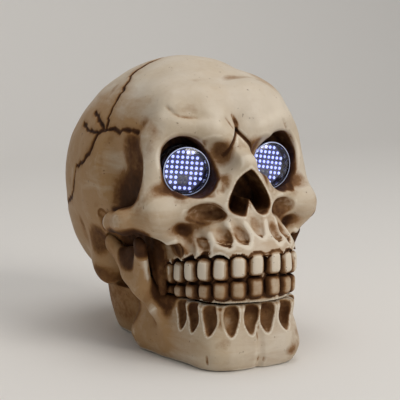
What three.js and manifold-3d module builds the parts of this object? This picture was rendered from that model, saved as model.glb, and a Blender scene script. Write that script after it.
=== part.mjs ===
// A light-up skull decoration: two hollow resin castings, a pair of LED matrix eyes behind
// clear caps, and a battery box with a slide switch let into the underside.
// Millimetres, +Z up, the face looks along -Y, the base stands on Z = 0.
import * as THREE from "three";
import { mergeVertices } from "three/addons/utils/BufferGeometryUtils.js";
import Module from "manifold-3d";

const wasm = await Module();
wasm.setup();

// Braincase: three blended eggs, each with its centre and half sizes
const FRONTAL = { y: -9, z: 99, halfWidth: 55, halfLength: 56, halfHeight: 61 };
const OCCIPUT = { y: 26, z: 89, halfWidth: 55.5, halfLength: 54, halfHeight: 58 };
const NUCHAL = { y: 35, z: 59, halfWidth: 43, halfLength: 40, halfHeight: 33 };

// Eyes and orbits
const EYE_X = 26;
const EYE_Y = -56;
const EYE_Z = 102;
const ORBIT_X = 27.2;
const ORBIT_Z = 103.4;
const ORBIT_HALF_WIDTH = 14.8;
const ORBIT_HALF_HEIGHT = 16.8;
const ORBIT_DEPTH = 12;

// Nose opening
const NOSE_TOP = { halfWidth: 2.4, z: 106.5 };
const NOSE_BASE = { halfWidth: 12.6, z: 88 };
const NOSE_FLOOR_Z = 80.5;
const NOSE_REAR_Y = -60;
const SPINE_Z = 88.5;

// Face, given for one half and mirrored. Swellings are eggs by centre and half sizes.
const FACE_EGGS = [
  { at: [0, -50, 86], half: [37, 25, 30], blend: 12 },
  { at: [22, -27, 125], half: [22, 22, 18], blend: 14 },
  { at: [42, -48, 101], half: [5.2, 8, 21], blend: 7 },
  { at: [41, 8, 45], half: [10, 13, 14], blend: 8 },
];

// Ridges are strands of clay, by their points and the radius at each
const FOREHEAD = { points: [[0, -48.5, 134], [14, -49, 134], [27, -44.5, 132]], radii: [8, 8, 8], blends: [12, 12] };
const BROW = {
  points: [[7, -61, 117.5], [13, -59.5, 123.5], [29, -51.5, 126.5], [34.5, -48.5, 122.5], [38.5, -46, 117], [45.5, -51, 90]],
  radii: [5, 5.6, 5.6, 5.2, 5.2, 6.6],
  blends: [9, 11, 9, 8, 8],
};
const CHEEKBONE = {
  points: [[22, -66, 86], [44, -57, 80.6], [55, -43, 75.5], [55.5, -27, 73]],
  radii: [6, 8.1, 6.8, 5.4],
  blends: [7, 6, 4],
};
const CHEEK_STRUT = { points: [[46, -54, 75], [33, -62, 64]], radii: [5, 4], blends: [6] };
const NASAL_BONE = { points: [[0, -57, 114], [0, -73, 106.8]], radii: [5.4, 5.2], blends: [5] };
const NOSE_SIDE = { points: [[3, -70, 103], [13, -69, 86]], radii: [4.6, 5.6], blends: [6] };
const FACE_STRANDS = [FOREHEAD, BROW, CHEEKBONE, CHEEK_STRUT, NASAL_BONE, NOSE_SIDE];

// Hollows of the face, and the wall of the cheek inside the jaw
const TEMPORAL_HOLLOW = { at: [58, -28, 103], half: [11, 15, 22], blend: 5 };
const FACE_HOLLOWS = [
  { at: [17, -73, 109.5], half: [11.5, 14, 11], blend: 2.4 },
  { at: [58.5, -42, 102], half: [13, 13, 20], blend: 1.6 },
  { at: [24.2, -72.5, 81.2], half: [10.6, 7.8, 5.4], blend: 1.2 },
  { at: [48, -44, 62.2], half: [12, 21, 7], blend: 1.4 },
  { at: [55, -10, 72.5], half: [4, 5, 4.5], blend: 1.6 },
];
const CHEEK_WALL = { at: [34, -33, 52], half: [4.6, 12, 18], blend: 3 };

// Leaf-shaped hollows between the roots of the upper teeth
const ROOT_PITS = [
  { top: [0, -78.5, 86], bottom: [0, -87.5, 70.5], radius: 3.4 },
  { top: [12.2, -80.8, 79], bottom: [9.9, -88.6, 67.6], radius: 3.6 },
  { top: [20.2, -74, 78], bottom: [19, -85.4, 67], radius: 4 },
  { top: [27, -67.5, 72], bottom: [27.6, -78, 63.2], radius: 3.7 },
  { top: [33.4, -64.4, 70], bottom: [32.4, -69.6, 59], radius: 2.9 },
  { top: [36, -58, 67], bottom: [35, -62.5, 57.5], radius: 2.6 },
];
const ROOT_PIT_BLEND = 1.2;

// Dental arch: a squarish oval in plan, straight behind its centre
const ARCH_Y = -46;
const ARCH_HALF_WIDTH = 33;
const ARCH_LENGTH = 49;
const ARCH_POWER = 2.5;
const ARCH_REAR_Y = -16;
const TEETH_PER_SIDE = 7;
const TOOTH_PITCH = 10.25;
const TOOTH_GAP = 1.15;
const TOOTH_ROUND = 2.9;
const TOOTH_CHINK = 0.25;
const TOOTH_HALF_DEPTH = 4.3;
const TOOTH_SET = [3.5, 4.2];
const TOOTH_BOW = 0.035;
const GUM_Z = 63.6;
const BITE_Z = 50.6;
const LOWER_GUM_Z = 39;
const SMILE_DROP = 10;
const GUM_RECESS = 4.2;

// Lower jaw
const JAW_FRONT_Y = -90.5;
const JAW_FRONT_HALF_WIDTH = 28;
const JAW_REAR_Y = -18;
const JAW_REAR_HALF_WIDTH = 43.5;
const JAW_RIM_Z = 34.5;
const JAW_REAR_RISE = 9;
const PIT_DEPTH = 4;
const PIT_Z = 28;
const PIT_HALF_HEIGHT = 9;
const JAW_PITS = [
  { x: 4.9, y: -88, turn: 0, half: 4.3 },
  { x: 15.6, y: -85, turn: 23, half: 4 },
  { x: 23.6, y: -79, turn: 56, half: 3.9 },
  { x: 27.8, y: -69.5, turn: 76, half: 4 },
  { x: 30, y: -60.5, turn: 78, half: 3.4 },
];
const CHIN_CLEFT = { depth: 1.5, width: 2.4 };

// Ramus: a forked strut on each side, given by its centre points and thickness
const FORK = [43, -27, 44];
const CONDYLE = [48, -9, 57];
const CORONOID = [48, -45, 63];
const RIDGE = [
  [41, -35, 37],
  [38, -44, 27],
  [33, -50, 14],
];
const STRUT_RADIUS = 5.4;
const CONDYLE_RADIUS = 5.1;
const CORONOID_RADIUS = 3.9;
const RAMUS_WEB = { at: [44, -28, 48], half: [4.2, 13, 11], blend: 4 };

// Neck under the braincase
const NECK_Y = 14;
const NECK_SEAM_Z = 29;
const NECK_TOP = [36, 41];
const NECK_FOOT = [28, 34];

// Hollow inside of the two castings
const FIT = 0.3;
const WALL = 5.5;
const FLOOR = 6;
const NECK_BORE = [23, 29];
const PASSAGE_HALF_WIDTH = 14;
const BRAIN_HOLLOW = { y: 14, z: 92, half: [46.5, 57, 59] };
const PALATE_HOLLOW = { y: -52, z: 38, half: [20, 33, 19] };
const JAW_CLEARANCE = 1.1;
const NECK_LAP = 13;
const ROOM_LIFT = 8;

// How many triangles each sculpted skin keeps
const CRANIUM_FACETS = 4600;
const JAW_FACETS = 2100;
const CLEARANCE_FACETS = 1200;

// Eyes: clear cap over a dot matrix on a black cup, all on one axis from the cap rim inwards
const EYE_SIDES = 20;
const EYE_YAW_RIGHT = -11;
const EYE_YAW_LEFT = 3;
const LENS_D = 25.6;
const LENS_WALL = 1.2;
const LENS_BULGE = 2.2;
const LENS_SKIRT = 11.2;
const MATRIX_D = LENS_D - 2 * LENS_WALL - 2 * FIT;
const MATRIX_SET = 5.5;
const MATRIX_THICKNESS = 3;
const DOT_PITCH = 2.72;
const DOT_D = 1.9;
const DOT_HEIGHT = 0.4;
const DOT_ROWS = [4, 6, 8, 8, 8, 8, 6, 4];
const SPIGOT_AT = MATRIX_SET + MATRIX_THICKNESS + FIT;
const SHOULDER_AT = LENS_SKIRT + FIT;
const SHOULDER = 3;
const CUP_TAIL = 8;
const CUP_HOLE_D = 10;
const SEAT_AT = SHOULDER_AT + SHOULDER + FIT;

// Battery box: three AAA cells along Y, let in from below with its door flush under it
const CELL_D = 10.5;
const CELL_LENGTH = 44.5;
const CELL_NUB = [3.8, 1];
const CELL_COUNT = 3;
const CELL_PITCH = CELL_D + 0.6;
const BOX_Y = -51.5;
const BOX_WALL = 1.4;
const DOOR_Z = 0.4;
const DOOR_THICKNESS = 2.6;
const CELL_GAP = 0.4;
const MOUTH_HALF_X = (CELL_PITCH * (CELL_COUNT - 1) + CELL_D) / 2 + 0.5;
const MOUTH_HALF_Y = CELL_LENGTH / 2 + 1.7;
const CELL_Z = DOOR_Z + DOOR_THICKNESS + CELL_GAP + CELL_D / 2;
const BOX_TOP = CELL_Z + CELL_D / 2 + CELL_GAP + BOX_WALL;
const FLANGE_HALF_X = MOUTH_HALF_X + 4.4;
const FLANGE_HALF_Y = MOUTH_HALF_Y + 3.6;
const TAB_HALF_X = 28;
const TAB_AT = BOX_Y + 12.5;
const TAB_HALF_LENGTH = 6;
const PIN_D = 1.4;
const PIN_LENGTH = 1.1;
const HINGE_Y = BOX_Y - MOUTH_HALF_Y + 0.5 + DOOR_THICKNESS / 2;
const HINGE_Z = DOOR_Z + DOOR_THICKNESS / 2;
const CONTACT = 0.5;

// Screws
const BOX_SCREW = { x: 24.4, y: TAB_AT, headD: 4.6, head: 1.4, shankD: 2.2, tip: FLOOR - 0.8 };
const BOARD_SCREW = { headD: 3.6, head: 1.2, shankD: 1.7 };

// Controller board on two posts of the box
const POST_D = 4.6;
const POST_HEIGHT = 3;
const BOARD = [31, CELL_LENGTH - 2.5, 1.6];
const POST_X = 12;
const POST_AT = BOARD[1] / 2 - 4;
const POSTS = [[POST_X, BOX_Y + POST_AT], [-POST_X, BOX_Y - POST_AT]];
const WIRE_HOLE_AT = BOARD[1] / 2 - 3.5;
const ROOF_HOLE_AT = CELL_LENGTH / 2 - 1.75;
const BOARD_Z = BOX_TOP + POST_HEIGHT + FIT;
const CHIP = [9, 9, 1.5];
const WIRE_D = 1.6;
const HARNESS_D = 2.8;

// Slide switch in the floor of the neck
const SWITCH_Y = 4;
const SWITCH_BODY = [14, 8, 6];
const SWITCH_POCKET = [17, 10, 4];
const KNOB = [5, 6.4, 2.6];
const KNOB_Z = 0.9;
const STEM = 3;
const KNOB_TRAVEL = 4;

// Signed distances. Each takes a point and gives millimetres to the surface, negative inside.
const mix = (a, b, t) => a + (b - a) * t;
const clamp01 = (t) => Math.min(1, Math.max(0, t));
const ramp = (a, b, t) => {
  const u = clamp01((t - a) / (b - a));
  return u * u * (3 - 2 * u);
};

function join(a, b, blend) {
  const h = Math.max(blend - Math.abs(a - b), 0) / blend;
  return Math.min(a, b) - (h * h * blend) / 4;
}

const common = (a, b, blend) => -join(-a, -b, blend);
const carve = (a, b, blend) => -join(-a, b, blend);

function egg(x, y, z, centre, half) {
  const px = (x - centre[0]) / half[0];
  const py = (y - centre[1]) / half[1];
  const pz = (z - centre[2]) / half[2];
  const k0 = Math.hypot(px, py, pz);
  const k1 = Math.hypot(px / half[0], py / half[1], pz / half[2]);
  return k1 < 1e-9 ? -Math.min(...half) : (k0 * (k0 - 1)) / k1;
}

function oval(x, y, halfX, halfY) {
  const k0 = Math.hypot(x / halfX, y / halfY);
  const k1 = Math.hypot(x / (halfX * halfX), y / (halfY * halfY));
  return k1 < 1e-9 ? -Math.min(halfX, halfY) : (k0 * (k0 - 1)) / k1;
}

function rod(x, y, z, a, b, radiusA, radiusB) {
  const dx = b[0] - a[0];
  const dy = b[1] - a[1];
  const dz = b[2] - a[2];
  const px = x - a[0];
  const py = y - a[1];
  const pz = z - a[2];
  const t = clamp01((px * dx + py * dy + pz * dz) / (dx * dx + dy * dy + dz * dz));
  return Math.hypot(px - dx * t, py - dy * t, pz - dz * t) - mix(radiusA, radiusB, t);
}

function leaf(x, y, z, { top, bottom, radius }) {
  const along = bottom.map((v, i) => v - top[i]);
  const from = [x - top[0], y - top[1], z - top[2]];
  const reach = along[0] ** 2 + along[1] ** 2 + along[2] ** 2;
  const t = clamp01((from[0] * along[0] + from[1] * along[1] + from[2] * along[2]) / reach);
  const off = Math.hypot(from[0] - along[0] * t, from[1] - along[1] * t, from[2] - along[2] * t);
  return off - radius * Math.sqrt(4 * t * (1 - t)) * (1.1 - 0.2 * t);
}

function strand(d, x, y, z, { points, radii, blends }) {
  let whole = d;
  for (let i = 0; i < blends.length; i++)
    whole = join(whole, rod(x, y, z, points[i], points[i + 1], radii[i], radii[i + 1]), blends[i]);
  return whole;
}

function roundedBox(u, v, w, halfU, halfV, halfW, radius) {
  const qu = Math.abs(u) - halfU + radius;
  const qv = Math.abs(v) - halfV + radius;
  const qw = Math.abs(w) - halfW + radius;
  const outside = Math.hypot(Math.max(qu, 0), Math.max(qv, 0), Math.max(qw, 0));
  return outside + Math.min(Math.max(qu, qv, qw), 0) - radius;
}

const eggOf = (x, y, z, e) => egg(x, y, z, [0, e.y, e.z], [e.halfWidth, e.halfLength, e.halfHeight]);

// Plan distance to the dental arch
function archPlan(s, y) {
  const u = s / ARCH_HALF_WIDTH;
  const v = Math.max(ARCH_Y - y, 0) / ARCH_LENGTH;
  const k = (u ** ARCH_POWER + v ** ARCH_POWER) ** (1 / ARCH_POWER);
  if (k < 1e-6) return -ARCH_HALF_WIDTH;
  const gx = u ** (ARCH_POWER - 1) / ARCH_HALF_WIDTH;
  const gy = v ** (ARCH_POWER - 1) / ARCH_LENGTH;
  return ((k - 1) * k ** (ARCH_POWER - 1)) / Math.hypot(gx, gy);
}

// Teeth: equal steps of length along half the arch, each with its own tangent frame
function archPoint(t) {
  const x = ARCH_HALF_WIDTH * Math.sin(t) ** (2 / ARCH_POWER);
  const y = ARCH_Y - ARCH_LENGTH * Math.max(Math.cos(t), 0) ** (2 / ARCH_POWER);
  return new THREE.Vector2(x, y);
}

const ARCH_POINTS = Array.from({ length: 401 }, (_, i) => archPoint((i / 400) * (Math.PI / 2)));
function stationOnArch(step) {
  let left = TOOTH_PITCH * step;
  let k = 1;
  while (k < 400 && left > ARCH_POINTS[k].distanceTo(ARCH_POINTS[k - 1])) {
    left -= ARCH_POINTS[k].distanceTo(ARCH_POINTS[k - 1]);
    k++;
  }
  const p = ARCH_POINTS[k];
  const t = p.clone().sub(ARCH_POINTS[k - 1]).normalize();
  const back = clamp01((step - 0.52) / (TEETH_PER_SIDE - 1));
  return { x: p.x, y: p.y, tx: t.x, ty: t.y, nx: t.y, ny: -t.x, back };
}

const TEETH = Array.from({ length: TEETH_PER_SIDE }, (_, i) => stationOnArch(i + 0.52));

// Heights of the tooth rows fall from the front to the back
const gumAt = (back) => GUM_Z - (SMILE_DROP + 1) * back ** 1.3;
const biteAt = (back) => BITE_Z - SMILE_DROP * back ** 1.3;
const lowerGumAt = (back) => LOWER_GUM_Z - 0.6 * SMILE_DROP * back ** 1.3;

function teeth(s, y, z) {
  let d = 1e9;
  for (const t of TEETH) {
    const u = (s - t.x) * t.tx + (y - t.y) * t.ty;
    const w = (s - t.x) * t.nx + (y - t.y) * t.ny;
    if (Math.abs(u) > 12 || Math.abs(w) > 14) continue;
    const half = (TOOTH_PITCH - TOOTH_GAP) / 2;
    const bite = biteAt(t.back);
    const upperMid = (gumAt(t.back) + bite) / 2;
    const upperHalf = (gumAt(t.back) - bite) / 2 - TOOTH_CHINK;
    const upperWidth = half * (1 - 0.14 * clamp01((z - upperMid) / upperHalf));
    const lowerMid = (lowerGumAt(t.back) + bite) / 2;
    const lowerHalf = (bite - lowerGumAt(t.back)) / 2 - TOOTH_CHINK;
    const lowerWidth = half * (0.98 - 0.16 * clamp01((lowerMid - z) / lowerHalf));
    const bow = TOOTH_BOW * u * u;
    const [upperSet, lowerSet] = TOOTH_SET;
    d = Math.min(
      d,
      roundedBox(u, z - upperMid, w + upperSet + bow, upperWidth, upperHalf, TOOTH_HALF_DEPTH, TOOTH_ROUND),
      roundedBox(u, z - lowerMid, w + lowerSet + bow, lowerWidth, lowerHalf, TOOTH_HALF_DEPTH, TOOTH_ROUND),
    );
  }
  return d;
}

// Outer form of the upper casting: braincase, face and both rows of teeth
function craniumForm(x, y, z) {
  const s = Math.abs(x);
  let d = join(eggOf(x, y, z, FRONTAL), eggOf(x, y, z, OCCIPUT), 26);
  d = join(d, eggOf(x, y, z, NUCHAL), 20);

  const temporal = egg(s, y, z, TEMPORAL_HOLLOW.at, TEMPORAL_HOLLOW.half);
  d = carve(d, temporal, TEMPORAL_HOLLOW.blend);

  // swellings of the face, the muzzle that carries the teeth, and the ridges
  for (const e of FACE_EGGS) d = join(d, egg(s, y, z, e.at, e.half), e.blend);
  const arch = archPlan(s, y);
  const back = clamp01((y + 95) / 50);
  const slope = mix(0, 15, ramp(GUM_Z - 3, 86, z));
  const gum = gumAt(back ** 1.6) - z;
  const muzzle = common(arch + slope, Math.max(z - 84, y - ARCH_REAR_Y), 8);
  d = join(d, Math.max(muzzle, gum - 1), 7);
  for (const ridge of FACE_STRANDS) d = strand(d, s, y, z, ridge);

  // orbit
  const orbit = Math.max(
    oval(s - ORBIT_X + (y - EYE_Y) * 0.15, z - ORBIT_Z, ORBIT_HALF_WIDTH, ORBIT_HALF_HEIGHT),
    y - EYE_Y - ORBIT_DEPTH,
  );
  d = carve(d, orbit, 3);

  // nose opening: a wedge with a round foot on each side of a pointed spine
  const wide = NOSE_BASE.halfWidth - NOSE_TOP.halfWidth;
  const tall = NOSE_TOP.z - NOSE_BASE.z;
  const side = ((s - NOSE_TOP.halfWidth) * tall + (z - NOSE_TOP.z) * wide) / Math.hypot(wide, tall);
  let hole = common(side, Math.max(NOSE_FLOOR_Z - z, z - NOSE_TOP.z), 12);
  const spine = s * 0.9 + (z - SPINE_Z) * 0.44;
  hole = common(Math.max(hole, y - NOSE_REAR_Y), -spine, 2);
  d = carve(d, hole, 0.8);

  // hollows of the inner eye corner, temple, cheek and ear, and between the roots of the teeth
  for (const e of FACE_HOLLOWS) d = carve(d, egg(s, y, z, e.at, e.half), e.blend);
  for (const pit of ROOT_PITS) d = carve(d, leaf(s, y, z, pit), ROOT_PIT_BLEND);
  d = join(d, egg(s, y, z, CHEEK_WALL.at, CHEEK_WALL.half), CHEEK_WALL.blend);

  // gum recess and the teeth that stand in it
  const core = Math.max(arch + GUM_RECESS, z - GUM_Z - 4, lowerGumAt(back ** 1.6) - 2.5 - z, y - ARCH_REAR_Y);
  d = join(d, core, 1);
  d = join(d, teeth(s, y, z), 0.8);
  return d;
}

function jawSides(s, y) {
  const dx = JAW_REAR_HALF_WIDTH - JAW_FRONT_HALF_WIDTH;
  const dy = JAW_REAR_Y - JAW_FRONT_Y;
  const l = Math.hypot(dx, dy);
  const side = ((s - JAW_FRONT_HALF_WIDTH) * dy - (y - JAW_FRONT_Y) * dx) / l;
  return common(JAW_FRONT_Y - y, side, 14);
}

const jawPlan = (s, y) => common(jawSides(s, y), y - JAW_REAR_Y, 6);

// How far the jaw wall stands inside its widest line, by height
const JAW_PROFILE = [
  [0, 4],
  [3, 1.6],
  [9, 0],
  [16, 1],
  [24, 3.4],
  [31, 2.4],
  [60, 0],
];
function jawInset(z) {
  let i = 1;
  while (i < JAW_PROFILE.length - 1 && JAW_PROFILE[i][0] < z) i++;
  const [za, a] = JAW_PROFILE[i - 1];
  const [zb, b] = JAW_PROFILE[i];
  return mix(a, b, clamp01((z - za) / (zb - za)));
}

// Outer form of the lower casting: jaw, its two rami and the neck
function jawForm(x, y, z) {
  const s = Math.abs(x);
  const plan = jawPlan(s, y);
  const rise = JAW_REAR_RISE * ramp(-52, -28, y) * ramp(29, 35, s);
  const rim = mix(JAW_RIM_Z, NECK_SEAM_Z, ramp(-34, -26, y) * ramp(34, 28, s)) + rise;
  let d = common(plan + jawInset(z), z - rim, 3);

  // cleft of the chin, and pits between the roots of the lower teeth
  d += CHIN_CLEFT.depth * Math.exp(-((s / CHIN_CLEFT.width) ** 2)) * ramp(-70, -80, y) * ramp(27, 21, z);
  for (const pit of JAW_PITS) {
    const turn = THREE.MathUtils.degToRad(pit.turn);
    const u = (s - pit.x) * Math.cos(turn) + (y - pit.y) * Math.sin(turn);
    if (Math.abs(u) > 12) continue;
    d = carve(d, egg(u, plan + jawInset(z), z, [0, 0, PIT_Z], [pit.half, PIT_DEPTH, PIT_HALF_HEIGHT]), 0.8);
  }

  // ramus strut with its two prongs and the web between them
  d = join(d, rod(s, y, z, FORK, CONDYLE, STRUT_RADIUS, CONDYLE_RADIUS), 4);
  d = join(d, rod(s, y, z, RIDGE[0], CORONOID, STRUT_RADIUS, CORONOID_RADIUS), 4);
  d = join(d, egg(s, y, z, RAMUS_WEB.at, RAMUS_WEB.half), RAMUS_WEB.blend);
  let last = FORK;
  for (const p of RIDGE) {
    d = join(d, rod(s, y, z, last, p, STRUT_RADIUS, STRUT_RADIUS), 4);
    last = p;
  }

  // neck
  const t = clamp01(z / NECK_SEAM_Z);
  const neckX = mix(NECK_FOOT[0], NECK_TOP[0], t ** 0.6);
  const neckY = mix(NECK_FOOT[1], NECK_TOP[1], t ** 0.6);
  const neck = Math.max(oval(x, y - NECK_Y, neckX, neckY), z - NECK_SEAM_Z);
  d = join(d, neck, 2);
  d = common(d, -z, 1);

  // open bowl inside the jaw, with a passage back into the bore of the neck
  const bowl = common(jawSides(s, y) + jawInset(z) + WALL, y - JAW_REAR_Y + WALL, 6);
  const bore = oval(x, y - NECK_Y, NECK_BORE[0], NECK_BORE[1]);
  const passage = Math.max(s - PASSAGE_HALF_WIDTH, y - NECK_Y, JAW_REAR_Y - 2 * WALL - y);
  const hollow = common(Math.min(bowl, bore, passage), FLOOR - z, 2);
  return Math.max(d, -hollow);
}

// A closed mesh of the zero surface, by marching tetrahedra on a cubic grid
function skin(distance, low, high, step) {
  const n = low.map((v, i) => Math.ceil((high[i] - v) / step) + 1);
  const values = new Float64Array(n[0] * n[1] * n[2]);
  const index = (i, j, k) => (k * n[1] + j) * n[0] + i;
  const at = (i, j, k) => distance(low[0] + i * step, low[1] + j * step, low[2] + k * step);
  const brick = 6;
  const reach = brick * step * 1.6;
  for (let k = 0; k < n[2]; k += brick)
    for (let j = 0; j < n[1]; j += brick)
      for (let i = 0; i < n[0]; i += brick) {
        const middle = at(i + brick / 2, j + brick / 2, k + brick / 2);
        for (let c = k; c < Math.min(k + brick, n[2]); c++)
          for (let b = j; b < Math.min(j + brick, n[1]); b++)
            for (let a = i; a < Math.min(i + brick, n[0]); a++) {
              const v = Math.abs(middle) > reach ? middle : at(a, b, c);
              values[index(a, b, c)] = Math.abs(v) < 1e-4 ? 1e-4 : v;
            }
      }
  const points = [];
  const seen = new Map();
  const crossing = (a, b) => {
    const key = a < b ? a * values.length + b : b * values.length + a;
    if (seen.has(key)) return seen.get(key);
    const t = values[a] / (values[a] - values[b]);
    const place = (q) => [q % n[0], Math.floor(q / n[0]) % n[1], Math.floor(q / (n[0] * n[1]))];
    const pa = place(a);
    const pb = place(b);
    points.push(...pa.map((v, i) => low[i] + step * mix(v, pb[i], t)));
    seen.set(key, points.length / 3 - 1);
    return points.length / 3 - 1;
  };
  const corners = [[0, 0, 0], [1, 0, 0], [1, 1, 0], [0, 1, 0], [0, 0, 1], [1, 0, 1], [1, 1, 1], [0, 1, 1]];
  const tetrahedra = [[0, 1, 2, 6], [0, 2, 3, 6], [0, 3, 7, 6], [0, 7, 4, 6], [0, 4, 5, 6], [0, 5, 1, 6]];
  const single = [[0, 1, 2, 3], [1, 0, 3, 2], [2, 0, 1, 3], [3, 0, 2, 1]];
  const pairs = [[0, 1, 2, 3], [0, 2, 3, 1], [0, 3, 1, 2], [1, 2, 0, 3], [1, 3, 2, 0], [2, 3, 0, 1]];
  const faces = [];
  for (let k = 0; k + 1 < n[2]; k++)
    for (let j = 0; j + 1 < n[1]; j++)
      for (let i = 0; i + 1 < n[0]; i++) {
        const cube = corners.map((c) => index(i + c[0], j + c[1], k + c[2]));
        const inside = cube.filter((q) => values[q] < 0).length;
        if (inside === 0 || inside === 8) continue;
        for (const tet of tetrahedra) {
          const q = tet.map((c) => cube[c]);
          const solid = q.map((v) => values[v] < 0);
          const count = solid.filter(Boolean).length;
          if (count === 1 || count === 3) {
            const [a, b, c, d] = single[solid.indexOf(count === 1)].map((v) => q[v]);
            const f = [crossing(a, b), crossing(a, c), crossing(a, d)];
            faces.push(count === 1 ? f : f.reverse());
          } else if (count === 2) {
            const [a, b, c, d] = pairs.find((p) => solid[p[0]] && solid[p[1]]).map((v) => q[v]);
            const f = [crossing(a, c), crossing(a, d), crossing(b, d), crossing(b, c)];
            faces.push([f[0], f[1], f[2]], [f[0], f[2], f[3]]);
          }
        }
      }
  return { points, faces, distance };
}

// Fewer triangles on the same surface, by collapsing the edges that change it least
function retopologise({ points, faces, distance }, target) {
  const p = Float64Array.from(points);
  const count = p.length / 3;
  const quadrics = new Float64Array(count * 10);
  const around = Array.from({ length: count }, () => []);
  const stamp = new Uint32Array(count);
  const gone = new Uint8Array(faces.length);
  const normalOf = (a, b, c) => {
    const ux = b[0] - a[0];
    const uy = b[1] - a[1];
    const uz = b[2] - a[2];
    const vx = c[0] - a[0];
    const vy = c[1] - a[1];
    const vz = c[2] - a[2];
    return [uy * vz - uz * vy, uz * vx - ux * vz, ux * vy - uy * vx];
  };
  const at = (v) => [p[v * 3], p[v * 3 + 1], p[v * 3 + 2]];
  faces.forEach((f, i) => {
    const [a, b, c] = f.map(at);
    const m = normalOf(a, b, c);
    const l = Math.hypot(...m) || 1;
    const [x, y, z] = m.map((v) => v / l);
    const w = -(x * a[0] + y * a[1] + z * a[2]);
    const q = [x * x, x * y, x * z, x * w, y * y, y * z, y * w, z * z, z * w, w * w];
    f.forEach((v) => {
      around[v].push(i);
      q.forEach((e, k) => (quadrics[v * 10 + k] += (e * l) / 2));
    });
  });
  const sum = new Float64Array(10);
  const errorAt = ([x, y, z]) =>
    sum[0] * x * x + 2 * sum[1] * x * y + 2 * sum[2] * x * z + 2 * sum[3] * x +
    sum[4] * y * y + 2 * sum[5] * y * z + 2 * sum[6] * y +
    sum[7] * z * z + 2 * sum[8] * z + sum[9];
  const solver = new THREE.Matrix3();
  const spot = new THREE.Vector3();
  const plan = (a, b) => {
    for (let k = 0; k < 10; k++) sum[k] = quadrics[a * 10 + k] + quadrics[b * 10 + k];
    const pa = at(a);
    const pb = at(b);
    const length = Math.hypot(pa[0] - pb[0], pa[1] - pb[1], pa[2] - pb[2]);
    const middle = pa.map((v, i) => (v + pb[i]) / 2);
    let best = middle;
    solver.set(sum[0], sum[1], sum[2], sum[1], sum[4], sum[5], sum[2], sum[5], sum[7]);
    const scale = Math.max(sum[0], sum[4], sum[7]);
    if (Math.abs(solver.determinant()) > 1e-4 * scale ** 3) {
      spot.set(-sum[3], -sum[6], -sum[8]).applyMatrix3(solver.invert());
      const near = spot.distanceTo(new THREE.Vector3(...middle)) < length;
      if (near && Math.abs(distance(spot.x, spot.y, spot.z)) < 0.4) best = spot.toArray();
    }
    return { a, b, best, cost: errorAt(best) + 1e-3 * length ** 3, made: stamp[a] + stamp[b] };
  };
  const heap = [];
  const push = (item) => {
    let i = heap.push(item) - 1;
    while (i > 0) {
      const up = (i - 1) >> 1;
      if (heap[up].cost <= heap[i].cost) break;
      [heap[up], heap[i]] = [heap[i], heap[up]];
      i = up;
    }
  };
  const pop = () => {
    const top = heap[0];
    const last = heap.pop();
    if (!heap.length) return top;
    heap[0] = last;
    for (let i = 0; ; ) {
      let c = 2 * i + 1;
      if (c >= heap.length) break;
      if (c + 1 < heap.length && heap[c + 1].cost < heap[c].cost) c++;
      if (heap[i].cost <= heap[c].cost) break;
      [heap[c], heap[i]] = [heap[i], heap[c]];
      i = c;
    }
    return top;
  };
  const neighbours = (v) => new Set(around[v].flatMap((f) => faces[f]).filter((w) => w !== v));
  faces.forEach((f) => f.forEach((a, i) => a < f[(i + 1) % 3] && push(plan(a, f[(i + 1) % 3]))));
  let left = faces.length;
  const flips = (v, other, best) =>
    around[v].some((f) => {
      if (faces[f].includes(other)) return false;
      const before = normalOf(...faces[f].map(at));
      if (Math.hypot(...before) < 1e-4) return false;
      const after = normalOf(...faces[f].map((w) => (w === v ? best : at(w))));
      const dot = before[0] * after[0] + before[1] * after[1] + before[2] * after[2];
      return dot < 0.3 * Math.hypot(...before) * Math.hypot(...after) || Math.hypot(...after) < 1e-3;
    });
  while (left > target && heap.length) {
    const { a, b, best, made } = pop();
    if (made !== stamp[a] + stamp[b] || !around[a].length || !around[b].length) continue;
    const ring = neighbours(b);
    if (!ring.has(a)) continue;
    const shared = [...neighbours(a)].filter((v) => ring.has(v)).length;
    if (shared !== 2 || flips(a, b, best) || flips(b, a, best)) continue;
    around[b].forEach((f) => {
      if (faces[f].includes(a)) {
        gone[f] = 1;
        left--;
      } else {
        faces[f] = faces[f].map((v) => (v === b ? a : v));
        around[a].push(f);
      }
    });
    [a, ...ring].forEach((v) => (around[v] = around[v].filter((f) => !gone[f])));
    around[b] = [];
    p.set(best, a * 3);
    for (let k = 0; k < 10; k++) quadrics[a * 10 + k] += quadrics[b * 10 + k];
    stamp[a]++;
    stamp[b]++;
    neighbours(a).forEach((v) => push(plan(a, v)));
  }
  const kept = faces.filter((_, i) => !gone[i]);
  return new THREE.BufferGeometry()
    .setAttribute("position", new THREE.BufferAttribute(Float32Array.from(p), 3))
    .setIndex(kept.flat());
}

// Exact solids: three.js geometry in, joined and cut, and back to geometry
function solid(geometry) {
  const bare = new THREE.BufferGeometry().setAttribute("position", geometry.getAttribute("position"));
  if (geometry.index) bare.setIndex(geometry.index);
  const merged = mergeVertices(bare, 1e-4);
  const build = (triVerts) => {
    const vertProperties = Float32Array.from(merged.getAttribute("position").array);
    const mesh = new wasm.Mesh({ numProp: 3, vertProperties, triVerts });
    mesh.merge();
    return new wasm.Manifold(mesh);
  };
  const form = build(Uint32Array.from(merged.index.array));
  return form.volume() < 0 ? build(Uint32Array.from(merged.index.array).reverse()) : form;
}

function geometryOf(manifold) {
  const mesh = manifold.getMesh();
  return new THREE.BufferGeometry()
    .setAttribute("position", new THREE.BufferAttribute(Float32Array.from(mesh.vertProperties), 3))
    .setIndex(Array.from(mesh.triVerts));
}

const add = (...forms) => wasm.Manifold.union(forms);
const cut = (form, ...tools) => form.subtract(wasm.Manifold.union(tools));

function block(x, y, z, width, depth, height) {
  return solid(new THREE.BoxGeometry(width, depth, height).translate(x, y, z + height / 2));
}

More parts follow.
